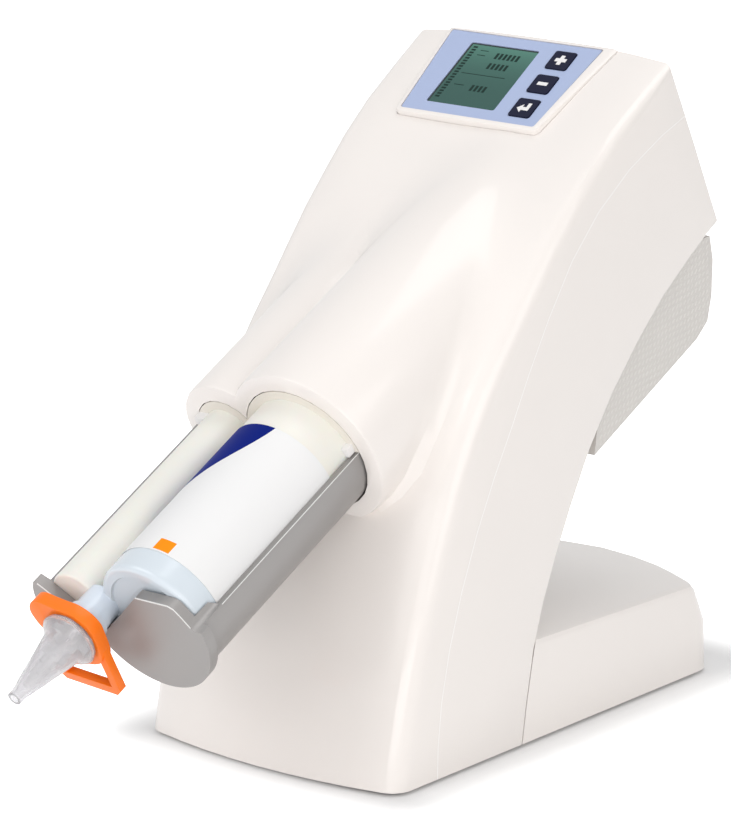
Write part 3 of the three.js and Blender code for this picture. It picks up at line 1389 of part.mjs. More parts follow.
function mixerRotor() {
  const end = tipRear + tipLength * rotorEndShare;
  const core = turned([
    [0, rotorSeat], [rotorRadius, rotorSeat], [rotorRadius, end - 2 * rotorRadius], [rotorRadius / 2, end],
    [0, end],
  ], smallSides);
  const paddles = [];
  const step = (end - rotorSeat) / rotorRows;
  for (let i = 0; i < rotorRows; i++) {
    const [s0, s1] = [rotorSeat + (i + 0.15) * step, rotorSeat + (i + 0.8) * step];
    const reach = Math.min(rotorRadiusAt(s0), rotorRadiusAt(s1)) - runGap;
    if (reach < rotorRadius * 0.7) continue;
    const half = rotorBlade / 2;
    for (const quarter of [0, 1]) {
      const blade = block(-reach, reach, s0, s1, -half, half);
      blade.rotateY((quarter * Math.PI) / 2 + (i % 2) * (Math.PI / 4));
      paddles.push(solid(blade));
    }
  }
  const socket = rod(shaftRadius + fitGap, rotorSeat - overrun, rotorSeat + shaftSocket + fitGap, 0, 0,
    smallSides);
  return joined(solid(core), ...paddles).subtract(solid(socket));
}

// The locking ring with its lobes and the loop handle below it
function lockingRing() {
  const inner = tipNeckRadius + runGap;
  const mid = (ringRear + ringFront) / 2;
  const outline = new THREE.CatmullRomCurve3(ringShares.map(([x, h]) => {
    return new THREE.Vector3(x * ringRadius, h * ringRadius, 0);
  }), true);
  const ring = crossSlab(outline.getPoints(ringSteps).slice(1).map(({ x, y }) => [x, y]), ringRear,
    ringFront);
  const clear = rod(inner, ringRear - overrun, ringFront + overrun, 0, 0, slimSides);
  const route = new THREE.CatmullRomCurve3(handleShares.map(([x, h, s]) => {
    return new THREE.Vector3(x * handleReach, -(mid + s * ringWidth), h * handleReach);
  }), false, "catmullrom", 0.35);
  const section = new THREE.Shape();
  section.absellipse(0, 0, handleBar / 2, handleBar / 2, 0, fullTurn);
  const bar = new THREE.ExtrudeGeometry(section, { steps: 24, extrudePath: route, bevelEnabled: false,
    curveSegments: 4 });
  return joined(solid(ring), solid(bar)).subtract(solid(clear));
}

function footPad([x, y]) {
  const pad = new THREE.CylinderGeometry(padRadius, padRadius - padReveal / 2, padReveal, 24)
    .rotateX(Math.PI / 2);
  return pad.translate(x, y, -padReveal / 2);
}

function baseScrew([x, y]) {
  const head = new THREE.CylinderGeometry(screwRadius, screwRadius, screwHead, 14).rotateX(Math.PI / 2)
    .translate(x, y, -screwHead / 2);
  const shank = new THREE.CylinderGeometry(bossHole - fitGap, bossHole - fitGap, bossHeight, smallSides)
    .rotateX(Math.PI / 2)
    .translate(x, y, bossHeight / 2 - screwHead / 2);
  return joined(solid(head), solid(shank));
}

// Assembly: the machine stands on its pads, the drive line and the panels in turned groups
const machine = new THREE.Group();
const housing = new THREE.Group();
const drive = new THREE.Group();
housing.position.z = padReveal;
drive.position.copy(driveOrigin);
drive.rotation.x = driveTilt;
machine.add(housing);
housing.add(drive, panelFrame, rearPanel);

function add(group, name, shape, material, place) {
  const geometry = shape instanceof THREE.BufferGeometry ? welded(shape) : geometryOf(shape);
  const mesh = new THREE.Mesh(geometry, material);
  mesh.name = name;
  if (place) mesh.position.set(...place);
  group.add(mesh);
  return mesh;
}

const { front: frontShell, rear: rearShell } = housingShells();
add(housing, "front_shell", frontShell, materials.white);
add(housing, "rear_shell", rearShell, materials.white);
add(housing, "rear_cover", rearCover(), materials.grey);
add(housing, "base_foot", baseFoot(), materials.white);
add(housing, "base_plate", basePlate(), materials.steel);
const padX = bossX - screwRadius - padRadius - padScrewGap;
const padPlaces = [[padX, padInset], [-padX, padInset], [padX, padRearY], [-padX, padRearY]];
padPlaces.forEach((place, i) => add(housing, `foot_pad_${i + 1}`, footPad(place), materials.rubber));
bossPlaces.forEach((place, i) => add(housing, `base_screw_${i + 1}`, baseScrew(place), materials.steel));

add(panelFrame, "display_bezel", displayBezel(), materials.white);
add(panelFrame, "control_overlay", controlOverlay(), materials.panel);
add(panelFrame, "display_window", plateOf(windowWidth, windowDepth, keyCorner, windowBottom, -fitGap,
  -windowOffset),
  materials.glass);
keyPlaces.forEach(([name, y]) => add(panelFrame, name, controlKey(), materials.navy, [keyOffset, y, 0]));
add(panelFrame, "control_board", controlBoard(), materials.board);

add(rearPanel, "power_inlet", powerInlet(), materials.black, [inletX, 0, 0]);
add(rearPanel, "power_switch_frame", switchFrame(), materials.black, [switchX, 0, 0]);
add(rearPanel, "power_rocker", rocker().rotateX(rockerTilt), materials.black, [switchX, 0, 0]);

add(housing, "power_supply", powerSupply(), materials.steel);
add(housing, "main_board", mainBoard(), materials.board);
add(housing, "pedestal_left", pedestal(-1), materials.steel);
add(housing, "pedestal_right", pedestal(1), materials.steel);

add(drive, "drive_bed", driveBed(), materials.steel);
add(drive, "front_bulkhead", frontBulkhead(), materials.steel);
add(drive, "rear_bulkhead", rearBulkhead(), materials.steel);
add(drive, "guide_rod_left", guideRod(rodPlaces[0]), materials.steel);
add(drive, "guide_rod_right", guideRod(rodPlaces[1]), materials.steel);
add(drive, "bearing_block_left", bearingBlock(rodPlaces[0]), materials.steel);
add(drive, "bearing_block_right", bearingBlock(rodPlaces[1]), materials.steel);
add(drive, "shaft_bush", shaftBush(), materials.board);
add(drive, "feed_motor", feedMotor(), materials.black);
add(drive, "motor_bracket", motorBracket(), materials.steel);
add(drive, "mixer_motor", mixerMotor(), materials.black);
add(drive, "mixer_shaft", mixerShaft(), materials.steel);
add(drive, "mixer_rotor", mixerRotor(), materials.white);
add(drive, "pinion_shaft", pinionShaft(), materials.steel);
add(drive, "rack_pinion_large", rackPinion(baseX, baseRackWidth - 2 * runGap), materials.steel);
add(drive, "rack_pinion_small", rackPinion(catalystX, catalystRackWidth), materials.steel);
add(drive, "feed_gear", feedGear(), materials.steel);
add(drive, "motor_pinion", motorPinion(), materials.steel);
add(drive, "plunger_rack_large", plungerRack(baseX, baseRackWidth), materials.steel);
add(drive, "plunger_rack_small", plungerRack(catalystX, catalystRackWidth), materials.steel);
add(drive, "plunger_disc_large", plungerDisc(innerBase - plungerGap, baseX), materials.steel);
add(drive, "plunger_disc_small", plungerDisc(innerCatalyst - plungerGap, catalystX), materials.steel);
add(drive, "plunger_yoke", plungerYoke(), materials.steel);
add(drive, "cartridge_carrier", cartridgeCarrier(), materials.silver);
add(drive, "cartridge", cartridge(), materials.barrel);
add(drive, "cartridge_label", cartridgeLabel(), materials.paper);
add(drive, "base_piston", piston(innerBase - pistonGap, baseX), materials.paper);
add(drive, "catalyst_piston", piston(innerCatalyst - pistonGap, catalystX), materials.paper);
add(drive, "mixing_tip", mixingTip(), materials.clear);
add(drive, "locking_ring", lockingRing(), materials.orange);

machine.updateMatrixWorld(true);
const extent = new THREE.Box3().setFromObject(machine, true);
machine.position.set(-(extent.min.x + extent.max.x) / 2, -(extent.min.y + extent.max.y) / 2, -extent.min.z);

export default machine;
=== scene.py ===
"""Dental impression mixer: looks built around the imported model. Metres, +Z up, the mixing tip towards -Y."""
import json
import math

import bmesh
import bpy
from mathutils import Matrix, Vector
from mathutils.bvhtree import BVHTree


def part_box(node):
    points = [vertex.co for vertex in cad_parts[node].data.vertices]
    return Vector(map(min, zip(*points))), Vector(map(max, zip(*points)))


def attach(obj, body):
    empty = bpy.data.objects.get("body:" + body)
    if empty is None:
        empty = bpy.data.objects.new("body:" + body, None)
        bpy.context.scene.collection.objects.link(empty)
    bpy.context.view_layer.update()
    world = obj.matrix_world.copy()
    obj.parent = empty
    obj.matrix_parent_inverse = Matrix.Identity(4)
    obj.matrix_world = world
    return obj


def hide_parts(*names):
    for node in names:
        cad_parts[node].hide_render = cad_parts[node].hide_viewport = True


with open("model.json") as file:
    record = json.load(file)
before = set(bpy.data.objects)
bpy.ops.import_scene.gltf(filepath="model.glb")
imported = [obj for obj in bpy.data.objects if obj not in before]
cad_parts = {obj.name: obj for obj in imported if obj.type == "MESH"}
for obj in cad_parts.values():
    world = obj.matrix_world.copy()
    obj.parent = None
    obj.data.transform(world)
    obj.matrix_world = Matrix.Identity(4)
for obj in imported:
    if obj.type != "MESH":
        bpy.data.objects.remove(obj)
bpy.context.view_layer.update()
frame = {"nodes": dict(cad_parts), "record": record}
MM = 0.001
SLOT_OF = {part["node"]: part["material_slot"] for part in frame["record"]["subparts"]}
BODY_OF = {node: body for body, members in frame["record"]["behaviour"]["bodies"].items() for node in members}

# Places, in millimetres: the drive line runs forward and down, the control panel lies on the sloping top
AXIS_X = Vector((1, 0, 0))
DRIVE_ORIGIN = Vector((-15.75, -50.2965, 157.8108))
DRIVE_TILT = math.radians(27.37)
DRIVE_FORWARD = Vector((0, -math.cos(DRIVE_TILT), -math.sin(DRIVE_TILT)))
DRIVE_UP = Vector((0, -math.sin(DRIVE_TILT), math.cos(DRIVE_TILT)))
PANEL_ORIGIN = Vector((-9.8, 127.1035, 306.4))
PANEL_TILT = math.radians(33.2)
PANEL_UP = Vector((0, -math.sin(PANEL_TILT), math.cos(PANEL_TILT)))
PANEL_BACK = Vector((0, math.cos(PANEL_TILT), math.sin(PANEL_TILT)))

# Cartridge and its paper sleeve, in millimetres beside and along the drive line
BASE_X, CATALYST_X = 31.5, -15.75
BASE_RADIUS, CATALYST_RADIUS = 29.5, 13.75
BASE_WALL, CATALYST_WALL = 1.5, 1.25
BASE_ROUND, CATALYST_ROUND = 3.0, 1.2
BARREL_REACH, BARREL_TAIL, SHOULDER, MILKY_START = 120.0, 14.0, 123.0, 60.0
RECESS_DEPTH, RECESS_INNER, RECESS_OUTER = 1.2, 6.5, 5.8
BRIDGE_HALF, BRIDGE_RECESS = 4.6, 1.5
FLANGE_RIM, FLANGE_THICKNESS, FLANGE_GAP, FLANGE_OVERLAP, FLANGE_STEPS = 4.7, 3.0, 0.6, 0.4, 72
LUG_SIZE, LUG_SHARE = 5.6, 0.8
NECK_RADIUS, HEAD_RADIUS, HEAD_REAR, HEAD_FRONT, HEAD_CHAMFER = 9.3, 10.6, 133.0, 137.0, 0.6
SHAFT_BORE, NARROW_SIDES = 1.85, 64
LABEL_REAR, LABEL_FRONT, LABEL_INNER, LABEL_OUTER, LABEL_SIDES = 18.7, 109.0, 29.65, 29.95, 128

# The label's print: angles in degrees round the barrel; the corner draws back with the run and its square
CORNER_START, CORNER_END, CORNER_SLOPE, CORNER_BEND = -95.0, 12.5, 0.43, 0.0164
CORNER_COLOR = (0.002, 0.013, 0.19)
SQUARE_RUN, SQUARE_TURN = (101.2, 108.2), (2.0, 19.0)
SQUARE_COLOR = (1.0, 0.30, 0.01)

# Carrier; the outlines of its front plate are (x, height) pairs
BASE_TROUGH, CATALYST_TROUGH, CARRIER_WALL, TROUGH_SADDLE = 30.45, 14.25, 3.3, -2.45
BASE_SIDES, CATALYST_SIDES, NOTCH_SIDES = 112, 72, 64
CARRIER_TAIL, CARRIER_LIP, LIP_RISE, SMALL_LIP, SMALL_LIP_RISE = 39.0, 4.5, 14.0, 4.4, 0.5
PLATE_REAR, PLATE_FRONT, PLATE_FLARE, PLATE_TOP, SMALL_PLATE_TOP = 123.3, 129.3, 3.0, 17.5, 12.0
PLATE_SLOPE = [(52.5, 17.5), (55.5, 16.2), (58.0, 12.8), (60.3, 9.0), (62.0, 6.4), (64.0, 4.9), (73.0, 4.5)]
PLATE_VEE = [(-40.0, 12.0), (-34.0, 11.6), (-31.0, 10.4), (-28.0, 8.2), (-13.0, -4.7), (9.0, -4.7), (14.5, 0.0),
             (33.0, 17.5)]
NOTCH_GAP, SLOPE_DEPTH, CUT_OVER, CUT_OVERLAP = 0.6, 30.0, 6.0, 0.3
EDGE_ACROSS, EDGE_RISE, EDGE_PROUD = 0.45, 0.4, 0.03

# Tip and ring; shares are of the length, the bell, the ring's radius or the handle's reach; the tip's taper
# starts at the point numbered TIP_TAPER and gets TIP_STEPS steps from point to point
TIP_REAR, TIP_LENGTH, TIP_BELL, TIP_MOUTH, TIP_WALL = 137.4, 52.0, 14.5, 3.5, 1.3
TIP_SHARES = [(0, 0.855), (0.17, 0.855), (0.185, 0.98), (0.215, 1), (0.24, 0.93), (0.3, 0.72), (0.43, 0.62),
              (0.62, 0.48), (0.81, 0.345), (0.92, 0.25), (1, 0.24)]
TIP_TAPER, TIP_STEPS, TIP_SIDES = 4, 4, 72
RING_REAR, RING_FRONT, RING_RADIUS, RING_BORE = 139.0, 146.0, 17.8, 13.0
RING_SHARES = [(0.85, 0.05), (0.84, 0.34), (0.66, 0.62), (0.3, 0.83), (-0.1, 0.89), (-0.45, 0.95), (-0.78, 1.01),
               (-1.05, 0.9), (-1.2, 0.6), (-1.12, 0.25), (-0.96, -0.05), (-0.87, -0.36), (-0.6, -0.72), (-0.1, -0.9),
               (0.45, -0.86), (0.78, -0.62)]
RING_STEPS, RING_CUT = 128, 3.0
HANDLE_REACH, HANDLE_BAR, MITRE_LIMIT = 28.0, 4.4, 0.5
HANDLE_SHARES = [(0.44, -0.14), (0.465, -1.1), (0.42, -1.145), (-0.62, -1.06), (-0.67, -1.0), (-0.5, -0.14)]
CARRIER_BEVEL, RING_BEVEL, HANDLE_BEVEL = 0.9, 1.1, 0.9

# Control panel: keys and their symbols from the panel's middle, display marks from the window's upper left corner
KEY_PLACES = {"plus": 17.6, "minus": 0.0, "enter": -17.6}
KEY_OFFSET, KEY_PROUD = 28.6, 0.6
SYMBOL_SINK, SYMBOL_RISE = 0.05, 0.12
SYMBOL_OUTLINES = {
    "plus": [(-3.3, -1.15), (-1.15, -1.15), (-1.15, -3.3), (1.15, -3.3), (1.15, -1.15), (3.3, -1.15), (3.3, 1.15),
             (1.15, 1.15), (1.15, 3.3), (-1.15, 3.3), (-1.15, 1.15), (-3.3, 1.15)],
    "minus": [(-3.0, -1.1), (3.0, -1.1), (3.0, 1.1), (-3.0, 1.1)],
    "enter": [(-4.0, -0.8), (-1.0, -3.6), (-1.0, -1.9), (3.2, -1.9), (3.2, 3.2), (1.2, 3.2), (1.2, 0.3), (-1.0, 0.3),
              (-1.0, 2.0)],
}
WINDOW_OFFSET, WINDOW_WIDTH, WINDOW_DEPTH = -8.8, 41.9, 43.9
WINDOW_LEFT, WINDOW_TOP = WINDOW_OFFSET - WINDOW_WIDTH / 2, WINDOW_DEPTH / 2
MARK_LEVELS = (-0.31, -0.24)
RUNG_COUNT, RUNG_PITCH, RUNG_PLACE, RUNG_SIZE = 19, 2.05, (2.4, 3.2), (2.6, 1.1)
MIDDLE_LINE = (7.0, 21.55, 27.0, 0.35)
BAR_ROWS, BAR_PITCH, BAR_SIZE = [(19.0, 9.0, 6), (19.0, 16.5, 5), (19.0, 33.0, 4)], 2.6, (1.5, 4.2)
SHORT_LINES = [(8.0, 8.0, 5.0, 0.4), (8.0, 4.6, 5.0, 0.4), (8.0, 30.0, 6.0, 0.4)]

# Dashes on the rear cover: size and pitch in millimetres, turn in radians, lean in degrees, probes in metres
DASH_SIZE, DASH_PITCH = (3.3, 1.0, 0.3), (4.8, 2.2)
DASH_ROWS, DASH_COLUMNS, DASH_TURN = 70, 110, 0.7
COVER_LEAN = -28
PROBES = [(0, 0), (0.0012, 0), (-0.0012, 0), (0, 0.0022), (0, -0.0022)]
PROBE_START, LEAST_FACING, FLAT_WITHIN = 0.3, 0.9, 0.0004

# Seam between the shells and the column's joint with the foot, as (y, z) shares of the body
BODY_REACH, BODY_HEIGHT, BODY_SHIFT = 253, 318, (-58.8965, 1.8)
SEAM_SHARES = [(0.889, 0.918), (0.723, 0.865), (0.557, 0.77), (0.431, 0.638), (0.336, 0.509), (0.245, 0.384),
               (0.166, 0.236), (0.123, 0.101), (0.115, 0)]
SEAM_STEPS, SEAM_TRIM = 14, 3.0
JOINT_SHARES = [(0.964, 0.717), (0.802, 0.626), (0.625, 0.478), (0.498, 0.308), (0.419, 0.16), (0.379, 0)]
JOINT_STEPS, JOINT_TOP, JOINT_SHIFT = 11, 44.0, 0.2
BEAD_HALF, BEAD_DEPTH, BEAD_SIDE = 0.19, 1.2, 78.88


def on_drive(x, s, h):
    """A place beside, along and above the drive line, in metres."""
    return (DRIVE_ORIGIN + AXIS_X * x + DRIVE_FORWARD * s + DRIVE_UP * h) * MM


def on_panel(x, y, z):
    """A place across, up and out of the control panel, in metres."""
    return (PANEL_ORIGIN + AXIS_X * x + PANEL_BACK * y + PANEL_UP * z) * MM


def on_slice(x, h, s):
    """A place beside and above the drive line, in the slice across it at s, in metres."""
    return on_drive(x, s, h)


def added(name, data):
    """Makes an object of its data and links it to the scene."""
    made = bpy.data.objects.new(name, data)
    bpy.context.scene.collection.objects.link(made)
    return made


# Camera and studio

CAMERA_PLACE = Vector((1.33058, -1.60959, 0.71307))
CAMERA_AZIMUTH = math.radians(39.36)
CAMERA_ELEVATION = math.radians(14.69)
CAMERA_LENS = 198.87
SENSOR_HEIGHT = 36.0
CLIP_END = 20.0
# Strength and colour of the surround, where it is seen and in the light it casts
SEEN_WHITE, FALLING_WHITE = (1.0, (1, 1, 1, 1)), (0.42, (0.97, 0.98, 1.0, 1))
LAMPS = [
    # name, place, target, size in metres, power in watts, tint
    ("key_lamp", (-0.8, -1.5, 1.4), (0, -0.05, 0.15), (1.2, 1.2), 11, (1, 1, 1)),
    ("fill_lamp", (1.9, -0.6, 0.9), (0, 0, 0.15), (1.4, 1.4), 11, (1.0, 0.97, 0.94)),
    ("front_lamp", (0.5, -1.8, 0.75), (0, -0.05, 0.08), (1.6, 0.6), 3.5, (1.0, 0.97, 0.95)),
    ("low_lamp", (0.95, -1.7, 0.2), (0, -0.05, 0.1), (1.4, 0.4), 6.5, (1.0, 0.97, 0.95)),
    ("top_lamp", (0.2, 0.4, 1.9), (0, 0, 0.2), (1.2, 1.2), 8.5, (1, 1, 1)),
]
FLOOR_REACH = 6.0
# The floor grows white with the distance from this box round the foot, in metres
FOOT_CENTRE, FOOT_HALF = (0, 0.08, 0), (0.079, 0.135, 1.0)
FLOOR_FADE = {"From Min": 0.0, "From Max": 0.05, "To Min": 0.02, "To Max": 0.8}


def place_camera():
    """Looks from the photograph's side, at its height and distance."""
    data = bpy.data.cameras.new("camera")
    data.sensor_fit = "VERTICAL"
    data.sensor_height = SENSOR_HEIGHT
    data.lens = CAMERA_LENS
    data.clip_end = CLIP_END
    camera = added("camera", data)
    a, e = CAMERA_AZIMUTH, CAMERA_ELEVATION
    right = Vector((math.cos(a), math.sin(a), 0))
    back = Vector((math.sin(a) * math.cos(e), -math.cos(a) * math.cos(e), math.sin(e)))
    up = back.cross(right)
    turn = Matrix((right, up, back)).transposed().to_4x4()
    camera.matrix_world = Matrix.Translation(CAMERA_PLACE) @ turn
    bpy.context.scene.camera = camera


def add_lamp(name, place, target, size, power, tint):
    """A rectangular lamp that points at a target."""
    data = bpy.data.lights.new(name, "AREA")
    data.shape = "RECTANGLE"
    data.size, data.size_y = size
    data.energy = power
    data.color = tint
    lamp = added(name, data)
    lamp.location = place
    lamp.rotation_euler = (Vector(target) - Vector(place)).to_track_quat("-Z", "Y").to_euler()


def seen_directly(nodes, links, socket):
    """Feeds a socket with 1 for rays from the camera, a mirror or a glass, and 0 for light that falls."""
    path = nodes.new("ShaderNodeLightPath")
    total = None
    for name in ("Is Camera Ray", "Is Glossy Ray", "Is Transmission Ray"):
        if total is None:
            total = path.outputs[name]
            continue
        step = nodes.new("ShaderNodeMath")
        step.operation = "MAXIMUM"
        links.new(total, step.inputs[0])
        links.new(path.outputs[name], step.inputs[1])
        total = step.outputs[0]
    links.new(total, socket)


def light_studio():
    """A white surround, dimmer in the light it casts than where it is seen, and five broad lamps."""
    world = bpy.data.worlds.new("studio")
    bpy.context.scene.world = world
    world.use_nodes = True
    nodes, links = world.node_tree.nodes, world.node_tree.links
    nodes.clear()
    out = nodes.new("ShaderNodeOutputWorld")
    mix = nodes.new("ShaderNodeMixShader")
    plain = nodes.new("ShaderNodeBackground")
    seen = nodes.new("ShaderNodeBackground")
    for node, (strength, color) in ((plain, FALLING_WHITE), (seen, SEEN_WHITE)):
        node.inputs["Strength"].default_value = strength
        node.inputs["Color"].default_value = color
    seen_directly(nodes, links, mix.inputs["Fac"])
    links.new(plain.outputs["Background"], mix.inputs[1])
    links.new(seen.outputs["Background"], mix.inputs[2])
    links.new(mix.outputs["Shader"], out.inputs["Surface"])
    for lamp in LAMPS:
        add_lamp(*lamp)


def lay_floor():
    """White paper that keeps the object's shadow near its foot and fades to plain white further out."""
    mesh = bpy.data.meshes.new("floor")
    corners = [(x * FLOOR_REACH, y * FLOOR_REACH, 0) for x, y in ((-1, -1), (1, -1), (1, 1), (-1, 1))]
    mesh.from_pydata(corners, [], [(0, 1, 2, 3)])
    floor = added("floor", mesh)
    material = bpy.data.materials.new("floor_paper")
    material.use_nodes = True
    nodes, links = material.node_tree.nodes, material.node_tree.links
    shader = nodes["Principled BSDF"]
    shader.inputs["Base Color"].default_value = (0.93, 0.93, 0.93, 1)
    shader.inputs["Roughness"].default_value = 0.9
    shader.inputs["Specular IOR Level"].default_value = 0.1
    where = nodes.new("ShaderNodeTexCoord")
    shift, mirror, inset, outside, length = [nodes.new("ShaderNodeVectorMath") for _ in range(5)]
    for node, operation, value in ((shift, "SUBTRACT", FOOT_CENTRE), (mirror, "ABSOLUTE", None),
                                   (inset, "SUBTRACT", FOOT_HALF), (outside, "MAXIMUM", (0, 0, 0)),
                                   (length, "LENGTH", None)):
        node.operation = operation
        if value is not None:
            node.inputs[1].default_value = value
    links.new(where.outputs["Object"], shift.inputs[0])
    for before, after in ((shift, mirror), (mirror, inset), (inset, outside), (outside, length)):
        links.new(before.outputs["Vector"], after.inputs[0])
    fade = nodes.new("ShaderNodeMapRange")
    fade.interpolation_type = "SMOOTHSTEP"
    for name, value in FLOOR_FADE.items():
        fade.inputs[name].default_value = value
    links.new(length.outputs["Value"], fade.inputs["Value"])
    gate = nodes.new("ShaderNodeMath")
    gate.operation = "MULTIPLY"
    seen_directly(nodes, links, gate.inputs[0])
    links.new(fade.outputs["Result"], gate.inputs[1])
    glow = nodes.new("ShaderNodeEmission")
    links.new(gate.outputs[0], glow.inputs["Strength"])
    both = nodes.new("ShaderNodeAddShader")
    links.new(shader.outputs["BSDF"], both.inputs[0])
    links.new(glow.outputs["Emission"], both.inputs[1])
    links.new(both.outputs["Shader"], nodes["Material Output"].inputs["Surface"])
    mesh.materials.append(material)


# Finishes

STREAKS_AROUND, STREAKS_ALONG, STREAK_SCALE = 5.0, 0.05, 1.6
FROST_LEAST, FROST_SPREAD, FROST_LIGHT, FROST_DARK = 0.06, 0.30, (0.90, 0.895, 0.905), (0.76, 0.75, 0.775)
# Display glass: the paler colour towards its top is a painted reflection, and the dark rim colour is painted shade
# along the frame
GLASS_LOW, GLASS_REFLECTION_HIGH, GLASS_RIM_SHADE = (0.028, 0.095, 0.080), (0.075, 0.22, 0.17), (0.008, 0.020, 0.018)
GLASS_REFLECTION_FADE, GLASS_RIM_LEFT, GLASS_RIM_TOP = 3.0, 0.9, 0.8
GRAIN_BROAD, GRAIN_DETAIL, GRAIN_HEIGHT = 14.0, 3.0, 0.0002


def new_material(name, color, roughness=0.4, metallic=0.0, **sockets):
    """A material with values on its shader's sockets; _ stands for a space in a socket's name."""
    material = bpy.data.materials.new(name)
    material.use_nodes = True
    shader = material.node_tree.nodes["Principled BSDF"]
    shader.inputs["Base Color"].default_value = (*color, 1)
    shader.inputs["Roughness"].default_value = roughness
    shader.inputs["Metallic"].default_value = metallic
    for key, value in sockets.items():
        shader.inputs[key.replace("_", " ")].default_value = value
    return material


def grain_group():
    """Fine surface grain: a colour, a roughness and a height that vary a little over the surface."""
    group = bpy.data.node_groups.new("moulded_grain", "ShaderNodeTree")
    face = group.interface
    for name, kind, value in [("Color", "NodeSocketColor", (1, 1, 1, 1)), ("Shade", "NodeSocketFloat", 0.03),
                              ("Scale", "NodeSocketFloat", 900.0), ("Roughness", "NodeSocketFloat", 0.4),
                              ("Spread", "NodeSocketFloat", 0.05)]:
        socket = face.new_socket(name, in_out="INPUT", socket_type=kind)
        socket.default_value = value
    for name, kind in [("Color", "NodeSocketColor"), ("Roughness", "NodeSocketFloat"), ("Height", "NodeSocketFloat")]:
        face.new_socket(name, in_out="OUTPUT", socket_type=kind)
    nodes, links = group.nodes, group.links
    given, out = nodes.new("NodeGroupInput"), nodes.new("NodeGroupOutput")
    where = nodes.new("ShaderNodeTexCoord")
    fine, broad = nodes.new("ShaderNodeTexNoise"), nodes.new("ShaderNodeTexNoise")
    broad.inputs["Scale"].default_value = GRAIN_BROAD
    fine.inputs["Detail"].default_value = GRAIN_DETAIL
    links.new(where.outputs["Object"], fine.inputs["Vector"])
    links.new(where.outputs["Object"], broad.inputs["Vector"])
    links.new(given.outputs["Scale"], fine.inputs["Scale"])
    centre = nodes.new("ShaderNodeMath")
    centre.operation = "SUBTRACT"
    centre.inputs[1].default_value = 0.5
    links.new(broad.outputs["Fac"], centre.inputs[0])
    shade = nodes.new("ShaderNodeMath")
    shade.operation = "MULTIPLY_ADD"
    shade.inputs[2].default_value = 1.0
    links.new(centre.outputs[0], shade.inputs[0])
    links.new(given.outputs["Shade"], shade.inputs[1])
    tint = nodes.new("ShaderNodeVectorMath")
    tint.operation = "SCALE"
    links.new(given.outputs["Color"], tint.inputs[0])
    links.new(shade.outputs[0], tint.inputs["Scale"])
    rough = nodes.new("ShaderNodeMath")
    rough.operation = "MULTIPLY_ADD"
    links.new(centre.outputs[0], rough.inputs[0])
    links.new(given.outputs["Spread"], rough.inputs[1])
    links.new(given.outputs["Roughness"], rough.inputs[2])
    links.new(tint.outputs[0], out.inputs["Color"])
    links.new(rough.outputs[0], out.inputs["Roughness"])
    links.new(fine.outputs["Fac"], out.inputs["Height"])
    return group


GRAIN = grain_group()


def moulded(name, color, roughness, metallic=0.0, shade=0.03, scale=900.0, bump=0.02, spread=0.05, **sockets):
    """A moulded or coated surface with fine grain in its colour, roughness and bump."""
    material = new_material(name, color, roughness, metallic, **sockets)
    nodes, links = material.node_tree.nodes, material.node_tree.links
    shader = nodes["Principled BSDF"]
    grain = nodes.new("ShaderNodeGroup")
    grain.name = "grain"
    grain.node_tree = GRAIN
    grain.inputs["Color"].default_value = (*color, 1)
    grain.inputs["Shade"].default_value = shade
    grain.inputs["Scale"].default_value = scale
    grain.inputs["Roughness"].default_value = roughness
    grain.inputs["Spread"].default_value = spread
    lift = nodes.new("ShaderNodeBump")
    lift.inputs["Strength"].default_value = bump
    lift.inputs["Distance"].default_value = GRAIN_HEIGHT
    links.new(grain.outputs["Color"], shader.inputs["Base Color"])
    links.new(grain.outputs["Roughness"], shader.inputs["Roughness"])
    links.new(grain.outputs["Height"], lift.inputs["Height"])
    links.new(lift.outputs["Normal"], shader.inputs["Normal"])
    return material


class Sums:
    """Short arithmetic for a material's masks."""

    def __init__(self, material):
        self.nodes, self.links = material.node_tree.nodes, material.node_tree.links
        where = self.nodes.new("ShaderNodeTexCoord")
        self.place = where.outputs["Object"]

    def do(self, operation, *terms):
        """One step of arithmetic on numbers or sockets."""
        node = self.nodes.new("ShaderNodeMath")
        node.operation = operation
        for socket, term in zip(node.inputs, terms):
            if isinstance(term, (int, float)):
                socket.default_value = term
            else:
                self.links.new(term, socket)
        return node.outputs[0]

    def along(self, origin, axis):
        """Distance in millimetres from a place, measured along an axis."""
        shift = self.nodes.new("ShaderNodeVectorMath")
        shift.operation = "SUBTRACT"
        shift.inputs[1].default_value = origin * MM
        self.links.new(self.place, shift.inputs[0])
        dot = self.nodes.new("ShaderNodeVectorMath")
        dot.operation = "DOT_PRODUCT"
        dot.inputs[1].default_value = axis / MM
        self.links.new(shift.outputs[0], dot.inputs[0])
        return dot.outputs["Value"]

    def within(self, value, low, high):
        """1 where a value lies between two bounds, and 0 elsewhere."""
        return self.do("MULTIPLY", self.do("GREATER_THAN", value, low), self.do("LESS_THAN", value, high))

    def blend(self, mask, first, second):
        """The first colour where the mask is 0 and the second where it is 1."""
        mix = self.nodes.new("ShaderNodeMix")
        mix.data_type = "RGBA"
        self.links.new(mask, mix.inputs["Factor"])
        for socket, color in ((mix.inputs[6], first), (mix.inputs[7], second)):
            if isinstance(color, tuple):
                socket.default_value = (*color, 1)
            else:
                self.links.new(color, socket)
        return mix.outputs[2]


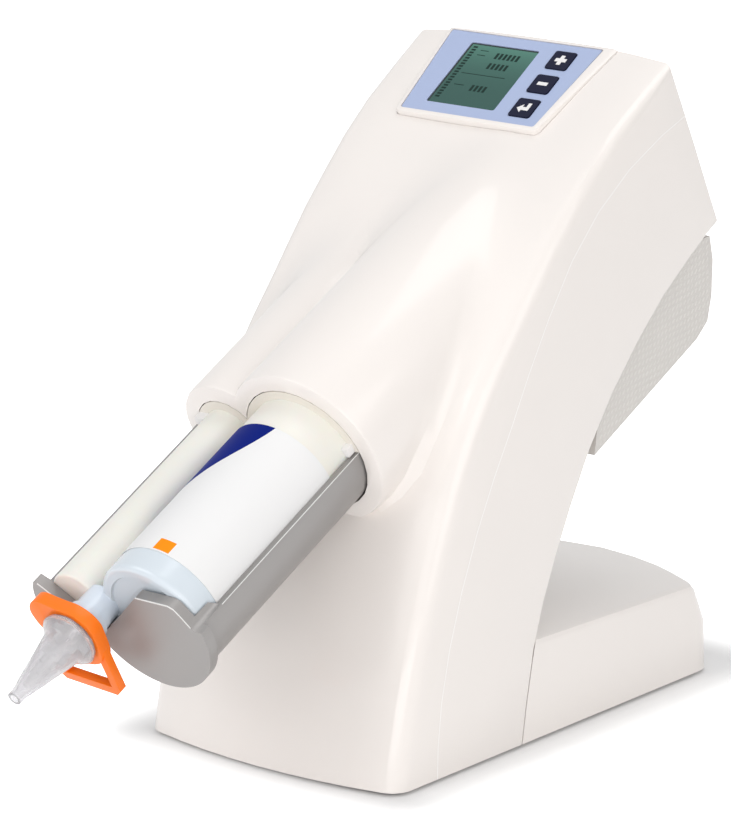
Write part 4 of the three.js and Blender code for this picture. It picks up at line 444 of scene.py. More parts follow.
def label_paper():
    """White sleeve with a plain dark blue corner and a small orange square."""
    material = moulded("label_paper", (0.86, 0.86, 0.86), 0.55, shade=0.015, bump=0.01, Specular_IOR_Level=0.06)
    sums = Sums(material)
    centre = DRIVE_ORIGIN + AXIS_X * BASE_X
    s = sums.along(centre, DRIVE_FORWARD)
    turn = sums.do("ARCTAN2", sums.along(centre, AXIS_X), sums.along(centre, DRIVE_UP))
    angle = sums.do("MULTIPLY", turn, math.degrees(1))
    run = sums.do("SUBTRACT", s, LABEL_REAR)
    edge = sums.do("MULTIPLY_ADD", run, sums.do("MULTIPLY_ADD", run, CORNER_BEND, CORNER_SLOPE), angle)
    corner = sums.do("MULTIPLY", sums.do("LESS_THAN", edge, CORNER_END),
                     sums.do("GREATER_THAN", angle, CORNER_START))
    square = sums.do("MULTIPLY", sums.within(s, *SQUARE_RUN), sums.within(angle, *SQUARE_TURN))
    color = sums.blend(corner, sums.nodes["grain"].outputs["Color"], CORNER_COLOR)
    color = sums.blend(square, color, SQUARE_COLOR)
    sums.links.new(color, sums.nodes["Principled BSDF"].inputs["Base Color"])
    return material


def lcd_glass():
    """Grey-green display glass with a painted reflection that makes it paler towards its upper edge, and a dark rim
    of painted shade inside its frame along its left and upper sides.
    """
    material = moulded("lcd_window", (0.05, 0.14, 0.10), 0.16, bump=0.005, Specular_IOR_Level=0.25)
    sums = Sums(material)
    x, y = sums.along(PANEL_ORIGIN, AXIS_X), sums.along(PANEL_ORIGIN, PANEL_BACK)
    rise = sums.do("DIVIDE", sums.do("ADD", y, WINDOW_TOP), WINDOW_DEPTH)
    # Painted reflection: the glass grows paler towards its upper edge
    color = sums.blend(sums.do("POWER", rise, GLASS_REFLECTION_FADE), GLASS_LOW, GLASS_REFLECTION_HIGH)
    # Painted shade: a dark rim along the window's left and upper edges, inside the frame
    rim = sums.do("MAXIMUM", sums.do("LESS_THAN", x, WINDOW_LEFT + GLASS_RIM_LEFT),
                  sums.do("GREATER_THAN", y, WINDOW_TOP - GLASS_RIM_TOP))
    color = sums.blend(rim, color, GLASS_RIM_SHADE)
    sums.links.new(color, sums.nodes["Principled BSDF"].inputs["Base Color"])
    return material


def clear_tip_plastic():
    """Clear plastic with a faint frost and lengthwise moulding streaks."""
    material = new_material("clear_plastic", (0.96, 0.955, 0.97), 0.16, Transmission_Weight=0.76, IOR=1.42)
    sums = Sums(material)
    across, above = sums.along(DRIVE_ORIGIN, AXIS_X), sums.along(DRIVE_ORIGIN, DRIVE_UP)
    around = sums.do("ARCTAN2", across, above)
    s = sums.along(DRIVE_ORIGIN, DRIVE_FORWARD)
    joined = sums.nodes.new("ShaderNodeCombineXYZ")
    sums.links.new(sums.do("MULTIPLY", around, STREAKS_AROUND), joined.inputs[0])
    sums.links.new(sums.do("MULTIPLY", s, STREAKS_ALONG), joined.inputs[1])
    streak = sums.nodes.new("ShaderNodeTexNoise")
    streak.inputs["Scale"].default_value = STREAK_SCALE
    streak.inputs["Detail"].default_value = 2.0
    sums.links.new(joined.outputs[0], streak.inputs["Vector"])
    rough = sums.do("MULTIPLY_ADD", streak.outputs["Fac"], FROST_SPREAD, FROST_LEAST)
    sums.links.new(rough, sums.nodes["Principled BSDF"].inputs["Roughness"])
    color = sums.blend(streak.outputs["Fac"], FROST_LIGHT, FROST_DARK)
    sums.links.new(color, sums.nodes["Principled BSDF"].inputs["Base Color"])
    return material


SHELL = moulded("white_shell", (0.87, 0.825, 0.79), 0.36, spread=0.03, Coat_Weight=0.45, Coat_Roughness=0.1)
# The seam beads are whiter than the shell: a painted highlight along the seam and the joint, covering the groove's
# shade
SEAM_HIGHLIGHT = moulded("seam_highlight_bead", (1.0, 0.99, 0.98), 0.4)
COVER = moulded("grey_cover", (0.69, 0.665, 0.635), 0.5)
# The raised dashes are paler than the cover: their relief is real, and the paler colour is a painted highlight
DASH_HIGHLIGHT = moulded("grey_cover_raised_highlight", (0.74, 0.72, 0.69), 0.4)
SILVER = moulded("carrier_silver", (0.31, 0.298, 0.292), 0.4, metallic=0.3, scale=1600.0, bump=0.04)
BARREL = moulded("barrel_plastic", (0.87, 0.84, 0.78), 0.36, Subsurface_Weight=0.15, Subsurface_Scale=0.004)
MILKY = moulded("barrel_front_milky", (0.66, 0.73, 0.79), 0.22, Coat_Weight=0.3, Coat_Roughness=0.1)
CREAM = moulded("flange_cream", (0.80, 0.76, 0.69), 0.36)
EDGE = moulded("carrier_bright_edge", (0.80, 0.80, 0.79), 0.4)
BLUISH = moulded("neck_bluish", (0.70, 0.78, 0.87), 0.2, Coat_Weight=0.3)
PAPER = label_paper()
ORANGE = moulded("orange_plastic", (1.0, 0.19, 0.0), 0.45, Specular_IOR_Level=0.35, Coat_Weight=0.12)
CLEAR = clear_tip_plastic()
FILM = moulded("panel_film", (0.40, 0.48, 0.70), 0.36, bump=0.01)
NAVY = moulded("key_navy", (0.007, 0.009, 0.030), 0.5, bump=0.01, Specular_IOR_Level=0.12)
SYMBOL = moulded("symbol_white", (0.85, 0.84, 0.84), 0.4)
GLASS = lcd_glass()
INK = moulded("lcd_segments", (0.006, 0.025, 0.020), 0.5, Specular_IOR_Level=0.1)
STEEL = moulded("steel", (0.5, 0.5, 0.52), 0.32, metallic=1.0)
ALUMINIUM = moulded("aluminium_case", (0.66, 0.67, 0.69), 0.4, metallic=1.0)
BOARD = moulded("board_green", (0.02, 0.12, 0.05), 0.5)
BLACK = moulded("black_plastic", (0.02, 0.02, 0.024), 0.45)
MOTOR = moulded("motor_black", (0.03, 0.03, 0.035), 0.4, metallic=0.3)
BRONZE = moulded("bush_bronze", (0.45, 0.28, 0.12), 0.4, metallic=1.0)
PISTON = moulded("piston_white", (0.86, 0.86, 0.86), 0.4)
RUBBER = moulded("rubber", (0.015, 0.015, 0.017), 0.85)
FINISHES = {
    "white_shell": SHELL, "grey_cover": COVER, "carrier_silver": SILVER, "barrel_plastic": BARREL,
    "label_paper": PAPER, "orange_plastic": ORANGE, "clear_plastic": CLEAR, "panel_film": FILM, "key_navy": NAVY,
    "lcd_window": GLASS, "steel": STEEL, "aluminium_case": ALUMINIUM, "board_green": BOARD, "black_plastic": BLACK,
    "motor_black": MOTOR, "bush_bronze": BRONZE, "piston_white": PISTON, "rubber": RUBBER,
}


# Mesh tools: distances in metres, angles in degrees

WELD, FINE_WELD, BEVEL_WELD, CARRIER_WELD = 0.00001, 0.000001, 0.00002, 0.0003
COPY_FLAT, COPY_ANGLE = 0.3, 32.0
BEVEL_SEGMENTS, BEVEL_ANGLE, BEVEL_FLAT, BEVEL_SHADE = 3, 40.0, 0.5, 50


def mesh_of(name, points, faces):
    """A new mesh of points and faces."""
    mesh = bpy.data.meshes.new(name)
    mesh.from_pydata([tuple(p) for p in points], [], faces)
    return mesh


def welded(mesh, weld, thin=None, flat=None, outward=False):
    """Welds a mesh's points; can also dissolve its thin faces, merge its flat ones and turn them all outward."""
    work = bmesh.new()
    work.from_mesh(mesh)
    bmesh.ops.remove_doubles(work, verts=work.verts, dist=weld)
    if thin:
        bmesh.ops.dissolve_degenerate(work, edges=work.edges, dist=thin)
    if flat:
        bmesh.ops.dissolve_limit(work, angle_limit=math.radians(flat), verts=work.verts, edges=work.edges)
    if outward:
        bmesh.ops.recalc_face_normals(work, faces=work.faces)
    work.to_mesh(mesh)
    work.free()
    return mesh


def softly_shaded(mesh, angle):
    """Shades a mesh softly between the edges that are sharper than an angle."""
    mesh.shade_smooth()
    mesh.set_sharp_from_angle(angle=math.radians(angle))
    return mesh


def tidied(mesh, angle=35):
    """Welds a mesh, turns its faces outward and shades it softly between its sharp edges."""
    return softly_shaded(welded(mesh, WELD, thin=WELD / 10, outward=True), angle)


def placed(name, mesh, materials, nodes=(), body=None):
    """Makes an object of a mesh, dresses it, sets it on the body it rides on and hides the solids it stands for."""
    piece = added(name, mesh)
    if mesh.materials:
        mesh.materials.clear()
    for material in materials:
        mesh.materials.append(material)
    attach(piece, body or BODY_OF[nodes[0]])
    if nodes:
        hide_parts(*nodes)


def soft_copy(node):
    """A welded, softly shaded copy of a carried-over solid, standing for it."""
    mesh = frame["nodes"][node].data.copy()
    if "custom_normal" in mesh.attributes:
        mesh.attributes.remove(mesh.attributes["custom_normal"])
    welded(mesh, WELD, flat=COPY_FLAT)
    placed(node + "_soft", softly_shaded(mesh, COPY_ANGLE), [FINISHES[SLOT_OF[node]]], (node,))


def lathe(profile, x=0.0, sides=96):
    """Points and faces of a profile of (radius, s) turned about a line beside the drive line.
    A profile that starts and ends on the line closes itself; any other is joined end to end."""
    open_ends = profile[0][0] == 0 and profile[-1][0] == 0
    points = [on_drive(x + r * math.sin(a), s, r * math.cos(a))
              for r, s in profile for a in (2 * math.pi * i / sides for i in range(sides))]
    rows = len(profile)
    faces = []
    for j in range(rows - 1 if open_ends else rows):
        k = (j + 1) % rows
        for i in range(sides):
            n = (i + 1) % sides
            faces.append((j * sides + i, j * sides + n, k * sides + n, k * sides + i))
    return points, faces


def joined_parts(parts):
    """Puts several (points, faces) together; returns them with each face's part number."""
    points, faces, marks = [], [], []
    for number, (some_points, some_faces) in enumerate(parts):
        start = len(points)
        points += some_points
        faces += [tuple(start + i for i in face) for face in some_faces]
        marks += [number] * len(some_faces)
    return points, faces, marks


def extruded(outline, low, high, place):
    """A closed slab: an outline of (a, b) pairs between two heights, each corner put by place(a, b, height)."""
    count = len(outline)
    points = [place(a, b, level) for level in (low, high) for a, b in outline]
    faces = [tuple(range(count)), tuple(range(2 * count - 1, count - 1, -1))]
    faces += [(i, (i + 1) % count, count + (i + 1) % count, count + i) for i in range(count)]
    return points, faces


def arc(radius, centre, start, stop, steps):
    """Points of (radius, s) on a rounded corner."""
    angles = [math.radians(start + (stop - start) * i / steps) for i in range(steps + 1)]
    return [(centre[0] + radius * math.cos(a), centre[1] + radius * math.sin(a)) for a in angles]


def solid_object(points, faces):
    """A closed solid as a work object, to be joined or cut."""
    return added("work", welded(mesh_of("work", points, faces), FINE_WELD, outward=True))


def combined(first, steps):
    """Joins or cuts closed solids one after the other; returns the plain mesh that results."""
    tools = []
    for operation, (points, faces) in steps:
        tool = solid_object(points, faces)
        tools.append(tool)
        step = first.modifiers.new("step", "BOOLEAN")
        step.operation = operation
        step.solver = "MANIFOLD"
        step.object = tool
    return finished(first, tools)


def finished(piece, tools=()):
    """The evaluated mesh of a work object, which is then deleted with its tools."""
    graph = bpy.context.evaluated_depsgraph_get()
    graph.update()
    mesh = bpy.data.meshes.new_from_object(piece.evaluated_get(graph))
    for work in (piece, *tools):
        bpy.data.objects.remove(work)
    return mesh


def bevelled(mesh, width, weld=BEVEL_WELD):
    """Rounds a mesh's sharp edges."""
    piece = added("work", welded(mesh, weld, flat=BEVEL_FLAT))
    step = piece.modifiers.new("rounding", "BEVEL")
    step.width = width * MM
    step.segments = BEVEL_SEGMENTS
    step.limit_method = "ANGLE"
    step.angle_limit = math.radians(BEVEL_ANGLE)
    return finished(piece)


def rod(radius, s0, s1, x, sides=96):
    """A closed cylinder along a line beside the drive line."""
    return lathe([(0, s0), (radius, s0), (radius, s1), (0, s1)], x, sides)


def drive_block(x0, x1, s0, s1, h0, h1):
    """A closed block between places beside, along and above the drive line."""
    return extruded([(x0, s0), (x1, s0), (x1, s1), (x0, s1)], h0, h1, on_drive)


def closed_spline(shares, size, steps):
    """A closed curve through its points, as (x, h) pairs."""
    points = [Vector((x * size, h * size)) for x, h in shares]
    count = len(points)
    out = []
    for i in range(steps):
        t = i * count / steps
        k = int(t)
        f = t - k
        p = [points[(k + j - 1) % count] for j in range(4)]
        out.append(tuple(0.5 * ((2 * p[1]) + (p[2] - p[0]) * f + (2 * p[0] - 5 * p[1] + 4 * p[2] - p[3]) * f * f
                                + (3 * p[1] - p[0] - 3 * p[2] + p[3]) * f ** 3)))
    return out


def bar_faces(count):
    """Faces of a four-sided bar through a number of cross-sections, closed at both ends."""
    faces = [(4 * i + k, 4 * i + (k + 1) % 4, 4 * i + 4 + (k + 1) % 4, 4 * i + 4 + k)
             for i in range(count - 1) for k in range(4)]
    last = 4 * (count - 1)
    return faces + [(3, 2, 1, 0), (last, last + 1, last + 2, last + 3)]


# Cartridge and what holds it

def flange(centre, radius):
    """A barrel's flange: part of a ring, ending on both sides a little above the carrier's lip."""
    reach = math.acos((CARRIER_LIP + FLANGE_GAP) / radius)
    inner = radius - FLANGE_RIM - FLANGE_OVERLAP
    ring = [(centre + r * math.sin(a), r * math.cos(a)) for r, turn in ((radius, 1), (inner, -1))
            for a in (turn * reach * (2 * i / FLANGE_STEPS - 1) for i in range(FLANGE_STEPS + 1))]
    return extruded(ring, -FLANGE_THICKNESS, 0.0, on_slice)


def lug(centre, radius, side):
    """A small block on the flange's outer end, above the carrier's lip."""
    x, rise = centre + side * (radius - LUG_SIZE), LUG_SHARE * LUG_SIZE
    foot = CARRIER_LIP + FLANGE_GAP
    return drive_block(x - LUG_SIZE / 2, x + LUG_SIZE / 2, -FLANGE_THICKNESS, rise, foot, foot + rise)


def build_cartridge():
    """Both barrels on their shared front wall, the flange ring with its lugs, and the neck."""
    big, small = BASE_RADIUS, CATALYST_RADIUS
    large = [(0, SHOULDER - RECESS_DEPTH), (big - RECESS_INNER, SHOULDER - RECESS_DEPTH),
             (big - RECESS_OUTER, SHOULDER)]
    large += arc(BASE_ROUND, (big - BASE_ROUND, SHOULDER - BASE_ROUND), 90, 0, 8)
    large += [(big, MILKY_START), (big, -BARREL_TAIL), (big - BASE_WALL, -BARREL_TAIL),
              (big - BASE_WALL, BARREL_REACH), (0, BARREL_REACH)]
    narrow = [(0, SHOULDER)] + arc(CATALYST_ROUND, (small - CATALYST_ROUND, SHOULDER - CATALYST_ROUND), 90, 0, 4)
    narrow += [(small, -BARREL_TAIL), (small - CATALYST_WALL, -BARREL_TAIL), (small - CATALYST_WALL, BARREL_REACH),
               (0, BARREL_REACH)]
    neck = [(SHAFT_BORE, BARREL_REACH), (NECK_RADIUS, BARREL_REACH), (NECK_RADIUS, HEAD_REAR),
            (HEAD_RADIUS, HEAD_REAR), (HEAD_RADIUS, HEAD_FRONT - HEAD_CHAMFER),
            (HEAD_RADIUS - HEAD_CHAMFER, HEAD_FRONT), (SHAFT_BORE, HEAD_FRONT)]
    bridge = drive_block(CATALYST_X, BASE_X, BARREL_REACH, SHOULDER - BRIDGE_RECESS, -BRIDGE_HALF, BRIDGE_HALF)
    rims = ((BASE_X, big + FLANGE_RIM, 1), (CATALYST_X, small + FLANGE_RIM, -1))
    dressed = [(lathe(large, BASE_X), MILKY), (lathe(narrow, CATALYST_X, NARROW_SIDES), BARREL),
               (lathe(neck, 0.0, NARROW_SIDES), BLUISH)]
    dressed += [(flange(centre, radius), CREAM) for centre, radius, _ in rims]
    dressed.append((bridge, BARREL))
    dressed += [(lug(*rim), SYMBOL) for rim in rims]
    points, faces, marks = joined_parts([part for part, _ in dressed])
    mesh = mesh_of("cartridge_body", points, faces)
    finishes = [BARREL, MILKY, CREAM, BLUISH, SYMBOL]
    milky_from = on_drive(0, MILKY_START, 0).dot(DRIVE_FORWARD)
    for face, number in zip(mesh.polygons, marks):
        finish = dressed[number][1]
        behind = finish == MILKY and face.center.dot(DRIVE_FORWARD) < milky_from
        face.material_index = finishes.index(BARREL if behind else finish)
    placed("cartridge_body", tidied(mesh), finishes, ("cartridge",))


def build_label():
    """The paper sleeve round the large barrel."""
    profile = [(LABEL_INNER, LABEL_REAR), (LABEL_OUTER, LABEL_REAR), (LABEL_OUTER, LABEL_FRONT),
               (LABEL_INNER, LABEL_FRONT)]
    mesh = tidied(mesh_of("label_sleeve", *lathe(profile, BASE_X, LABEL_SIDES)))
    placed("label_sleeve", mesh, [PAPER], ("cartridge_label",))


def build_carrier():
    """The double trough with its notched front plate, its edges rounded."""
    big, small = BASE_TROUGH + CARRIER_WALL, CATALYST_TROUGH + CARRIER_WALL
    high, far = 2 * big, CARRIER_TAIL + CUT_OVER
    cut_rear, cut_front = PLATE_REAR - CUT_OVER, PLATE_FRONT + CUT_OVER

    def above_lip(top, plate, rise, x0, x1):
        outline = [(PLATE_REAR, plate), (PLATE_REAR - rise, top), (-far, top), (-far, high), (PLATE_REAR, high)]
        return extruded(outline, x0, x1, lambda s, h, x: on_drive(x, s, h))

    def above_line(line, rear):
        return extruded(line + [(line[-1][0], high), (line[0][0], high)], rear, cut_front, on_slice)

    first = solid_object(*rod(big, -CARRIER_TAIL, PLATE_FRONT, BASE_X, BASE_SIDES))
    steps = [
        ("UNION", rod(small, -CARRIER_TAIL, PLATE_FRONT, CATALYST_X, CATALYST_SIDES)),
        ("UNION", rod(big + PLATE_FLARE, PLATE_REAR, PLATE_FRONT, BASE_X, BASE_SIDES)),
        ("UNION", rod(small + PLATE_FLARE, PLATE_REAR, PLATE_FRONT, CATALYST_X, CATALYST_SIDES)),
        ("DIFFERENCE", rod(BASE_TROUGH, -far, PLATE_REAR, BASE_X, BASE_SIDES)),
        ("DIFFERENCE", rod(CATALYST_TROUGH, -far, PLATE_REAR, CATALYST_X, CATALYST_SIDES)),
        ("DIFFERENCE", above_lip(CARRIER_LIP, PLATE_TOP, LIP_RISE, BASE_X, BASE_X + high)),
        ("DIFFERENCE", above_lip(SMALL_LIP, SMALL_PLATE_TOP, SMALL_LIP_RISE, CATALYST_X - high, CATALYST_X)),
        ("DIFFERENCE", drive_block(CATALYST_X - CUT_OVERLAP, BASE_X + CUT_OVERLAP, -far, PLATE_REAR,
                                   TROUGH_SADDLE, high)),
        ("DIFFERENCE", drive_block(BASE_X - CUT_OVERLAP, BASE_X + high, cut_rear, cut_front, PLATE_TOP, high)),
        ("DIFFERENCE", above_line(PLATE_SLOPE, PLATE_REAR - SLOPE_DEPTH)),
        ("DIFFERENCE", above_line(PLATE_VEE, cut_rear)),
        ("DIFFERENCE", rod(NECK_RADIUS + NOTCH_GAP, cut_rear, cut_front, 0.0, NOTCH_SIDES)),
    ]
    mesh = tidied(bevelled(combined(first, steps), CARRIER_BEVEL, CARRIER_WELD), BEVEL_SHADE)
    placed("carrier_trough", mesh, [SILVER], ("cartridge_carrier",))


def build_carrier_edges():
    """Thin bright lines where the carrier's large lip and its front plate catch the light."""
    outer = BASE_X + math.sqrt((BASE_TROUGH + CARRIER_WALL) ** 2 - CARRIER_LIP ** 2)
    parts = [drive_block(outer - EDGE_ACROSS, outer, -CARRIER_TAIL, PLATE_REAR - LIP_RISE, CARRIER_LIP - EDGE_RISE,
                         CARRIER_LIP + EDGE_PROUD)]
    for path in (PLATE_VEE[-1:] + PLATE_SLOPE[:5], PLATE_VEE[2:5]):
        outline = [(x, h + EDGE_PROUD) for x, h in path] + [(x, h - EDGE_RISE) for x, h in reversed(path)]
        parts.append(extruded(outline, PLATE_FRONT - EDGE_ACROSS, PLATE_FRONT + EDGE_PROUD, on_slice))
    points, faces, _ = joined_parts(parts)
    mesh = tidied(mesh_of("carrier_edges", points, faces))
    placed("carrier_edges", mesh, [EDGE], (), "housing")


def build_tip():
    """The hollow mixing tip: a short neck, a bell and a long taper with a small mouth lip."""
    outer = [(max(r * TIP_BELL, TIP_MOUTH), TIP_REAR + s * TIP_LENGTH) for s, r in TIP_SHARES]
    fine = outer[:TIP_TAPER + 1]
    for before, after in zip(outer[TIP_TAPER:], outer[TIP_TAPER + 1:]):
        for i in range(1, TIP_STEPS + 1):
            fine.append(tuple(a + (b - a) * i / TIP_STEPS for a, b in zip(before, after)))
    inner = [(r - TIP_WALL, s) for r, s in reversed(fine)]
    mesh = tidied(mesh_of("tip_shell", *lathe(fine + inner, 0.0, TIP_SIDES)))
    placed("tip_shell", mesh, [CLEAR], ("mixing_tip",))


def handle_bar():
    """A squarish bar along the handle's corner points, mitred where it turns."""
    middle, half = (RING_REAR + RING_FRONT) / 2, HANDLE_BAR / 2
    path = [Vector((x * HANDLE_REACH, h * HANDLE_REACH)) for x, h in HANDLE_SHARES]
    runs = [(after - before).normalized() for before, after in zip(path, path[1:])]
    points = []
    for i, place in enumerate(path):
        before, after = runs[max(i - 1, 0)], runs[min(i, len(runs) - 1)]
        along = (before + after).normalized()
        side = Vector((along.y, -along.x)) / max(MITRE_LIMIT, along.dot(after))
        for u, v in ((-1, -1), (1, -1), (1, 1), (-1, 1)):
            x, h = place + side * (u * half)
            points.append(on_drive(x, middle + v * half, h))
    return points, bar_faces(len(path))


def build_ring():
    """The orange locking ring: a lobed ring with rounded edges and a loop handle."""
    outline = closed_spline(RING_SHARES, RING_RADIUS, RING_STEPS)
    first = solid_object(*extruded(outline, RING_REAR, RING_FRONT, on_slice))
    bore = ("DIFFERENCE", rod(RING_BORE, RING_REAR - RING_CUT, RING_FRONT + RING_CUT, 0.0))
    ring = bevelled(combined(first, [bore]), RING_BEVEL)
    handle = bevelled(mesh_of("work", *handle_bar()), HANDLE_BEVEL)
    work = bmesh.new()
    work.from_mesh(ring)
    work.from_mesh(handle)
    work.to_mesh(ring)
    work.free()
    placed("ring_with_handle", tidied(ring, BEVEL_SHADE), [ORANGE], ("locking_ring",))


# Control panel details

def build_symbols():
    """The raised plus, minus and enter symbols, each riding on its key."""
    for kind, y in KEY_PLACES.items():
        outline = [(KEY_OFFSET + a, y + b) for a, b in SYMBOL_OUTLINES[kind]]
        slab = extruded(outline, KEY_PROUD - SYMBOL_SINK, KEY_PROUD + SYMBOL_RISE, on_panel)
        mesh = tidied(mesh_of(kind + "_symbol", *slab))
        placed(kind + "_symbol", mesh, [SYMBOL], (), kind + "_key")


def build_lcd_marks():
    """Plain segments behind the display glass: a ladder at its left edge, thin lines and level bars."""
    boxes = [(RUNG_PLACE[0], RUNG_PLACE[1] + i * RUNG_PITCH, *RUNG_SIZE) for i in range(RUNG_COUNT)]
    boxes.append(MIDDLE_LINE)
    boxes += [(across + i * BAR_PITCH, down, *BAR_SIZE) for across, down, count in BAR_ROWS for i in range(count)]
    boxes += SHORT_LINES
    parts = []
    for across, down, width, depth in boxes:
        x, y = WINDOW_LEFT + across, WINDOW_TOP - down
        outline = [(x, y), (x + width, y), (x + width, y + depth), (x, y + depth)]
        parts.append(extruded(outline, *MARK_LEVELS, on_panel))
    points, faces, _ = joined_parts(parts)
    mesh = tidied(mesh_of("lcd_marks", points, faces))
    placed("lcd_marks", mesh, [INK], (), "housing")


# Rear cover

def cover_places():
    """Staggered places on the rear cover's outer faces, each with its normal and the way its dash runs."""
    mesh = frame["nodes"]["rear_cover"].data
    tree = BVHTree.FromPolygons([v.co.copy() for v in mesh.vertices], [tuple(p.vertices) for p in mesh.polygons])
    low, high = [Vector(c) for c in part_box("rear_cover")]
    middle = (low + high) / 2
    back, up = Vector((0, 1, 0)), Vector((0, 0, 1))
    lean = Matrix.Rotation(math.radians(COVER_LEAN), 3, "X")
    slanted = (back * math.cos(DASH_TURN) - up * math.sin(DASH_TURN),
               up * math.cos(DASH_TURN) + back * math.sin(DASH_TURN))
    places, facings = [], []
    for out, side, rise in [(Vector((1, 0, 0)), *slanted), (Vector((-1, 0, 0)), *slanted),
                            (lean @ back, Vector((1, 0, 0)), lean @ up)]:
        for i in range(-DASH_ROWS, DASH_ROWS + 1):
            for j in range(-DASH_COLUMNS, DASH_COLUMNS + 1):
                start = middle + out * PROBE_START + side * (j * DASH_PITCH[1] * MM) \
                    + rise * ((i + 0.5 * (j % 2)) * DASH_PITCH[0] * MM)
                hits = [tree.ray_cast(start + side * dx + rise * dy, -out)[:2] for dx, dy in PROBES]
                if any(hit is None or facing.dot(out) < LEAST_FACING for hit, facing in hits):
                    continue
                place, normal = hits[0]
                if any(abs((hit - place).dot(normal)) > FLAT_WITHIN for hit, _ in hits):
                    continue
                places.append(place)
                facings.append((normal, rise))
    return places, facings


def dash_tree():
    """Sets a small raised dash on each place, turned to lie on the surface."""
    tree = bpy.data.node_groups.new("raised_dashes", "GeometryNodeTree")
    face = tree.interface
    face.new_socket("Places", in_out="INPUT", socket_type="NodeSocketGeometry")
    face.new_socket("Size", in_out="INPUT", socket_type="NodeSocketVector")
    face.new_socket("Finish", in_out="INPUT", socket_type="NodeSocketMaterial")
    face.new_socket("Dashes", in_out="OUTPUT", socket_type="NodeSocketGeometry")
    nodes, links = tree.nodes, tree.links
    given, out = nodes.new("NodeGroupInput"), nodes.new("NodeGroupOutput")
    bead = nodes.new("GeometryNodeMeshIcoSphere")
    bead.inputs["Radius"].default_value = 0.5
    bead.inputs["Subdivisions"].default_value = 2
    scaled = nodes.new("GeometryNodeTransform")
    links.new(bead.outputs["Mesh"], scaled.inputs["Geometry"])
    links.new(given.outputs["Size"], scaled.inputs["Scale"])
    turn = nodes.new("GeometryNodeInputNamedAttribute")
    turn.data_type = "FLOAT_VECTOR"
    turn.inputs["Name"].default_value = "turn"
    euler = nodes.new("FunctionNodeEulerToRotation")
    links.new(turn.outputs["Attribute"], euler.inputs[0])
    spread = nodes.new("GeometryNodeInstanceOnPoints")
    links.new(given.outputs["Places"], spread.inputs["Points"])
    links.new(scaled.outputs["Geometry"], spread.inputs["Instance"])
    links.new(euler.outputs[0], spread.inputs["Rotation"])
    real = nodes.new("GeometryNodeRealizeInstances")
    links.new(spread.outputs["Instances"], real.inputs["Geometry"])
    dress = nodes.new("GeometryNodeSetMaterial")
    links.new(real.outputs["Geometry"], dress.inputs["Geometry"])
    links.new(given.outputs["Finish"], dress.inputs["Material"])
    links.new(dress.outputs["Geometry"], out.inputs["Dashes"])
    return tree


def build_cover_dashes():
    """The rear cover's raised dashes, as one mesh; their relief is real and their paler colour is a painted
    highlight.
    """
    places, facings = cover_places()
    mesh = mesh_of("dash_places", places, [])
    turns = mesh.attributes.new("turn", "FLOAT_VECTOR", "POINT")
    for i, (normal, rise) in enumerate(facings):
        along = (rise - normal * rise.dot(normal)).normalized()
        turn = Matrix((along, normal.cross(along), normal)).transposed().to_euler()
        turns.data[i].vector = tuple(turn)
    piece = added("work", mesh)
    tree = dash_tree()
    step = piece.modifiers.new("dashes", "NODES")
    step.node_group = tree
    names = {item.name: item.identifier for item in tree.interface.items_tree if item.in_out == "INPUT"}
    step[names["Size"]] = [v * MM for v in DASH_SIZE]
    step[names["Finish"]] = DASH_HIGHLIGHT
    result = finished(piece)
    result.shade_smooth()
    placed("cover_dashes", result, [DASH_HIGHLIGHT], (), BODY_OF["rear_cover"])


# Beads in the seam and the joint, whiter than the shell as a painted highlight

def shell_line(shares, steps):
    """Places of (y, z) on the smooth line through some shares of the body's reach and height."""
    points = [Vector((y * BODY_REACH + BODY_SHIFT[0], z * BODY_HEIGHT + BODY_SHIFT[1])) for y, z in shares]
    out = []
    for step in range(steps + 1):
        t = step / steps * (len(points) - 1)
        k = min(int(t), len(points) - 2)
        f = t - k
        a, b, c, d = [points[min(max(k + j, 0), len(points) - 1)] for j in (-1, 0, 1, 2)]
        v, w = (c - a) * 0.5, (d - b) * 0.5
        out.append((2 * b - 2 * c + v + w) * f ** 3 + (3 * c - 3 * b - 2 * v - w) * f ** 2 + v * f + b)
    return out


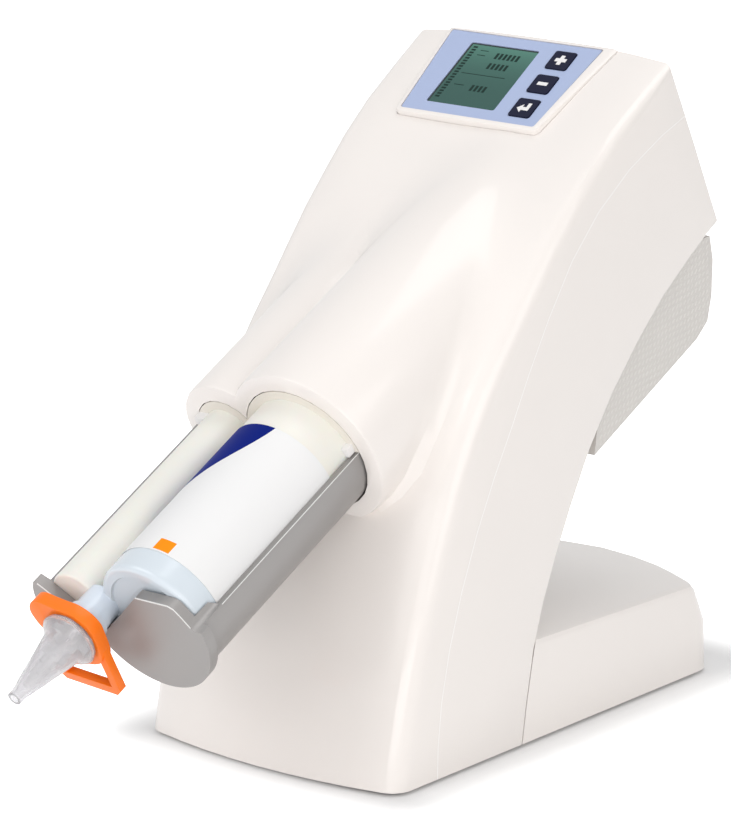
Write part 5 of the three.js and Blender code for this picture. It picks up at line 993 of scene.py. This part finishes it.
def joint_line():
    """The lower end of the column's rear edge, where it goes into the foot, just outside the column."""
    run = shell_line(JOINT_SHARES, JOINT_STEPS)
    line = []
    for before, after in zip(run, run[1:]):
        if after.y >= JOINT_TOP:
            continue
        along = (after - before).normalized()
        shift = Vector((-along.y, along.x)) * JOINT_SHIFT
        if not line:
            share = max(0.0, (before.y - JOINT_TOP) / (before.y - after.y))
            line.append(before + (after - before) * share + shift)
        line.append(after + shift)
    return line


def build_seam_highlight_beads():
    """Thin beads on both sides, whiter than the shell as a painted highlight in place of the groove's shade: in the
    seam between the shells and in the column's joint with the foot.
    """
    seam, joint = shell_line(SEAM_SHARES, SEAM_STEPS), joint_line()
    seam[0] += (seam[1] - seam[0]).normalized() * SEAM_TRIM
    inner = BEAD_SIDE - BEAD_DEPTH
    parts = []
    for side, line in ((1, seam), (1, joint), (-1, seam), (-1, joint)):
        points = []
        for i, place in enumerate(line):
            along = (line[min(i + 1, len(line) - 1)] - line[max(i - 1, 0)]).normalized()
            across = Vector((along.y, -along.x)) * BEAD_HALF
            for u, x in ((-1, inner), (1, inner), (1, BEAD_SIDE), (-1, BEAD_SIDE)):
                y, z = place + across * u
                points.append(Vector((side * x, y, z)) * MM)
        parts.append((points, bar_faces(len(line))))
    points, faces, _ = joined_parts(parts)
    placed("seam_highlight_beads", tidied(mesh_of("seam_highlight_beads", points, faces)), [SEAM_HIGHLIGHT], (), "housing")


def dress_cad_nodes():
    """Every carried-over solid takes its finish."""
    for name, node in frame["nodes"].items():
        node.data.materials.clear()
        node.data.materials.append(FINISHES[SLOT_OF[name]])


SOFT_COPIES = ["front_shell", "rear_shell", "base_foot", "rear_cover", "display_bezel", "control_overlay",
               "display_window", "key_plus", "key_minus", "key_enter", "mixer_rotor", "mixer_shaft", "power_inlet",
               "power_switch_frame", "power_rocker"]

place_camera()
light_studio()
lay_floor()
dress_cad_nodes()
for node_name in SOFT_COPIES:
    soft_copy(node_name)
build_cartridge()
build_label()
build_carrier()
build_carrier_edges()
build_tip()
build_ring()
build_symbols()
build_lcd_marks()
build_cover_dashes()
build_seam_highlight_beads()

bpy.context.scene.view_settings.view_transform = "Standard"
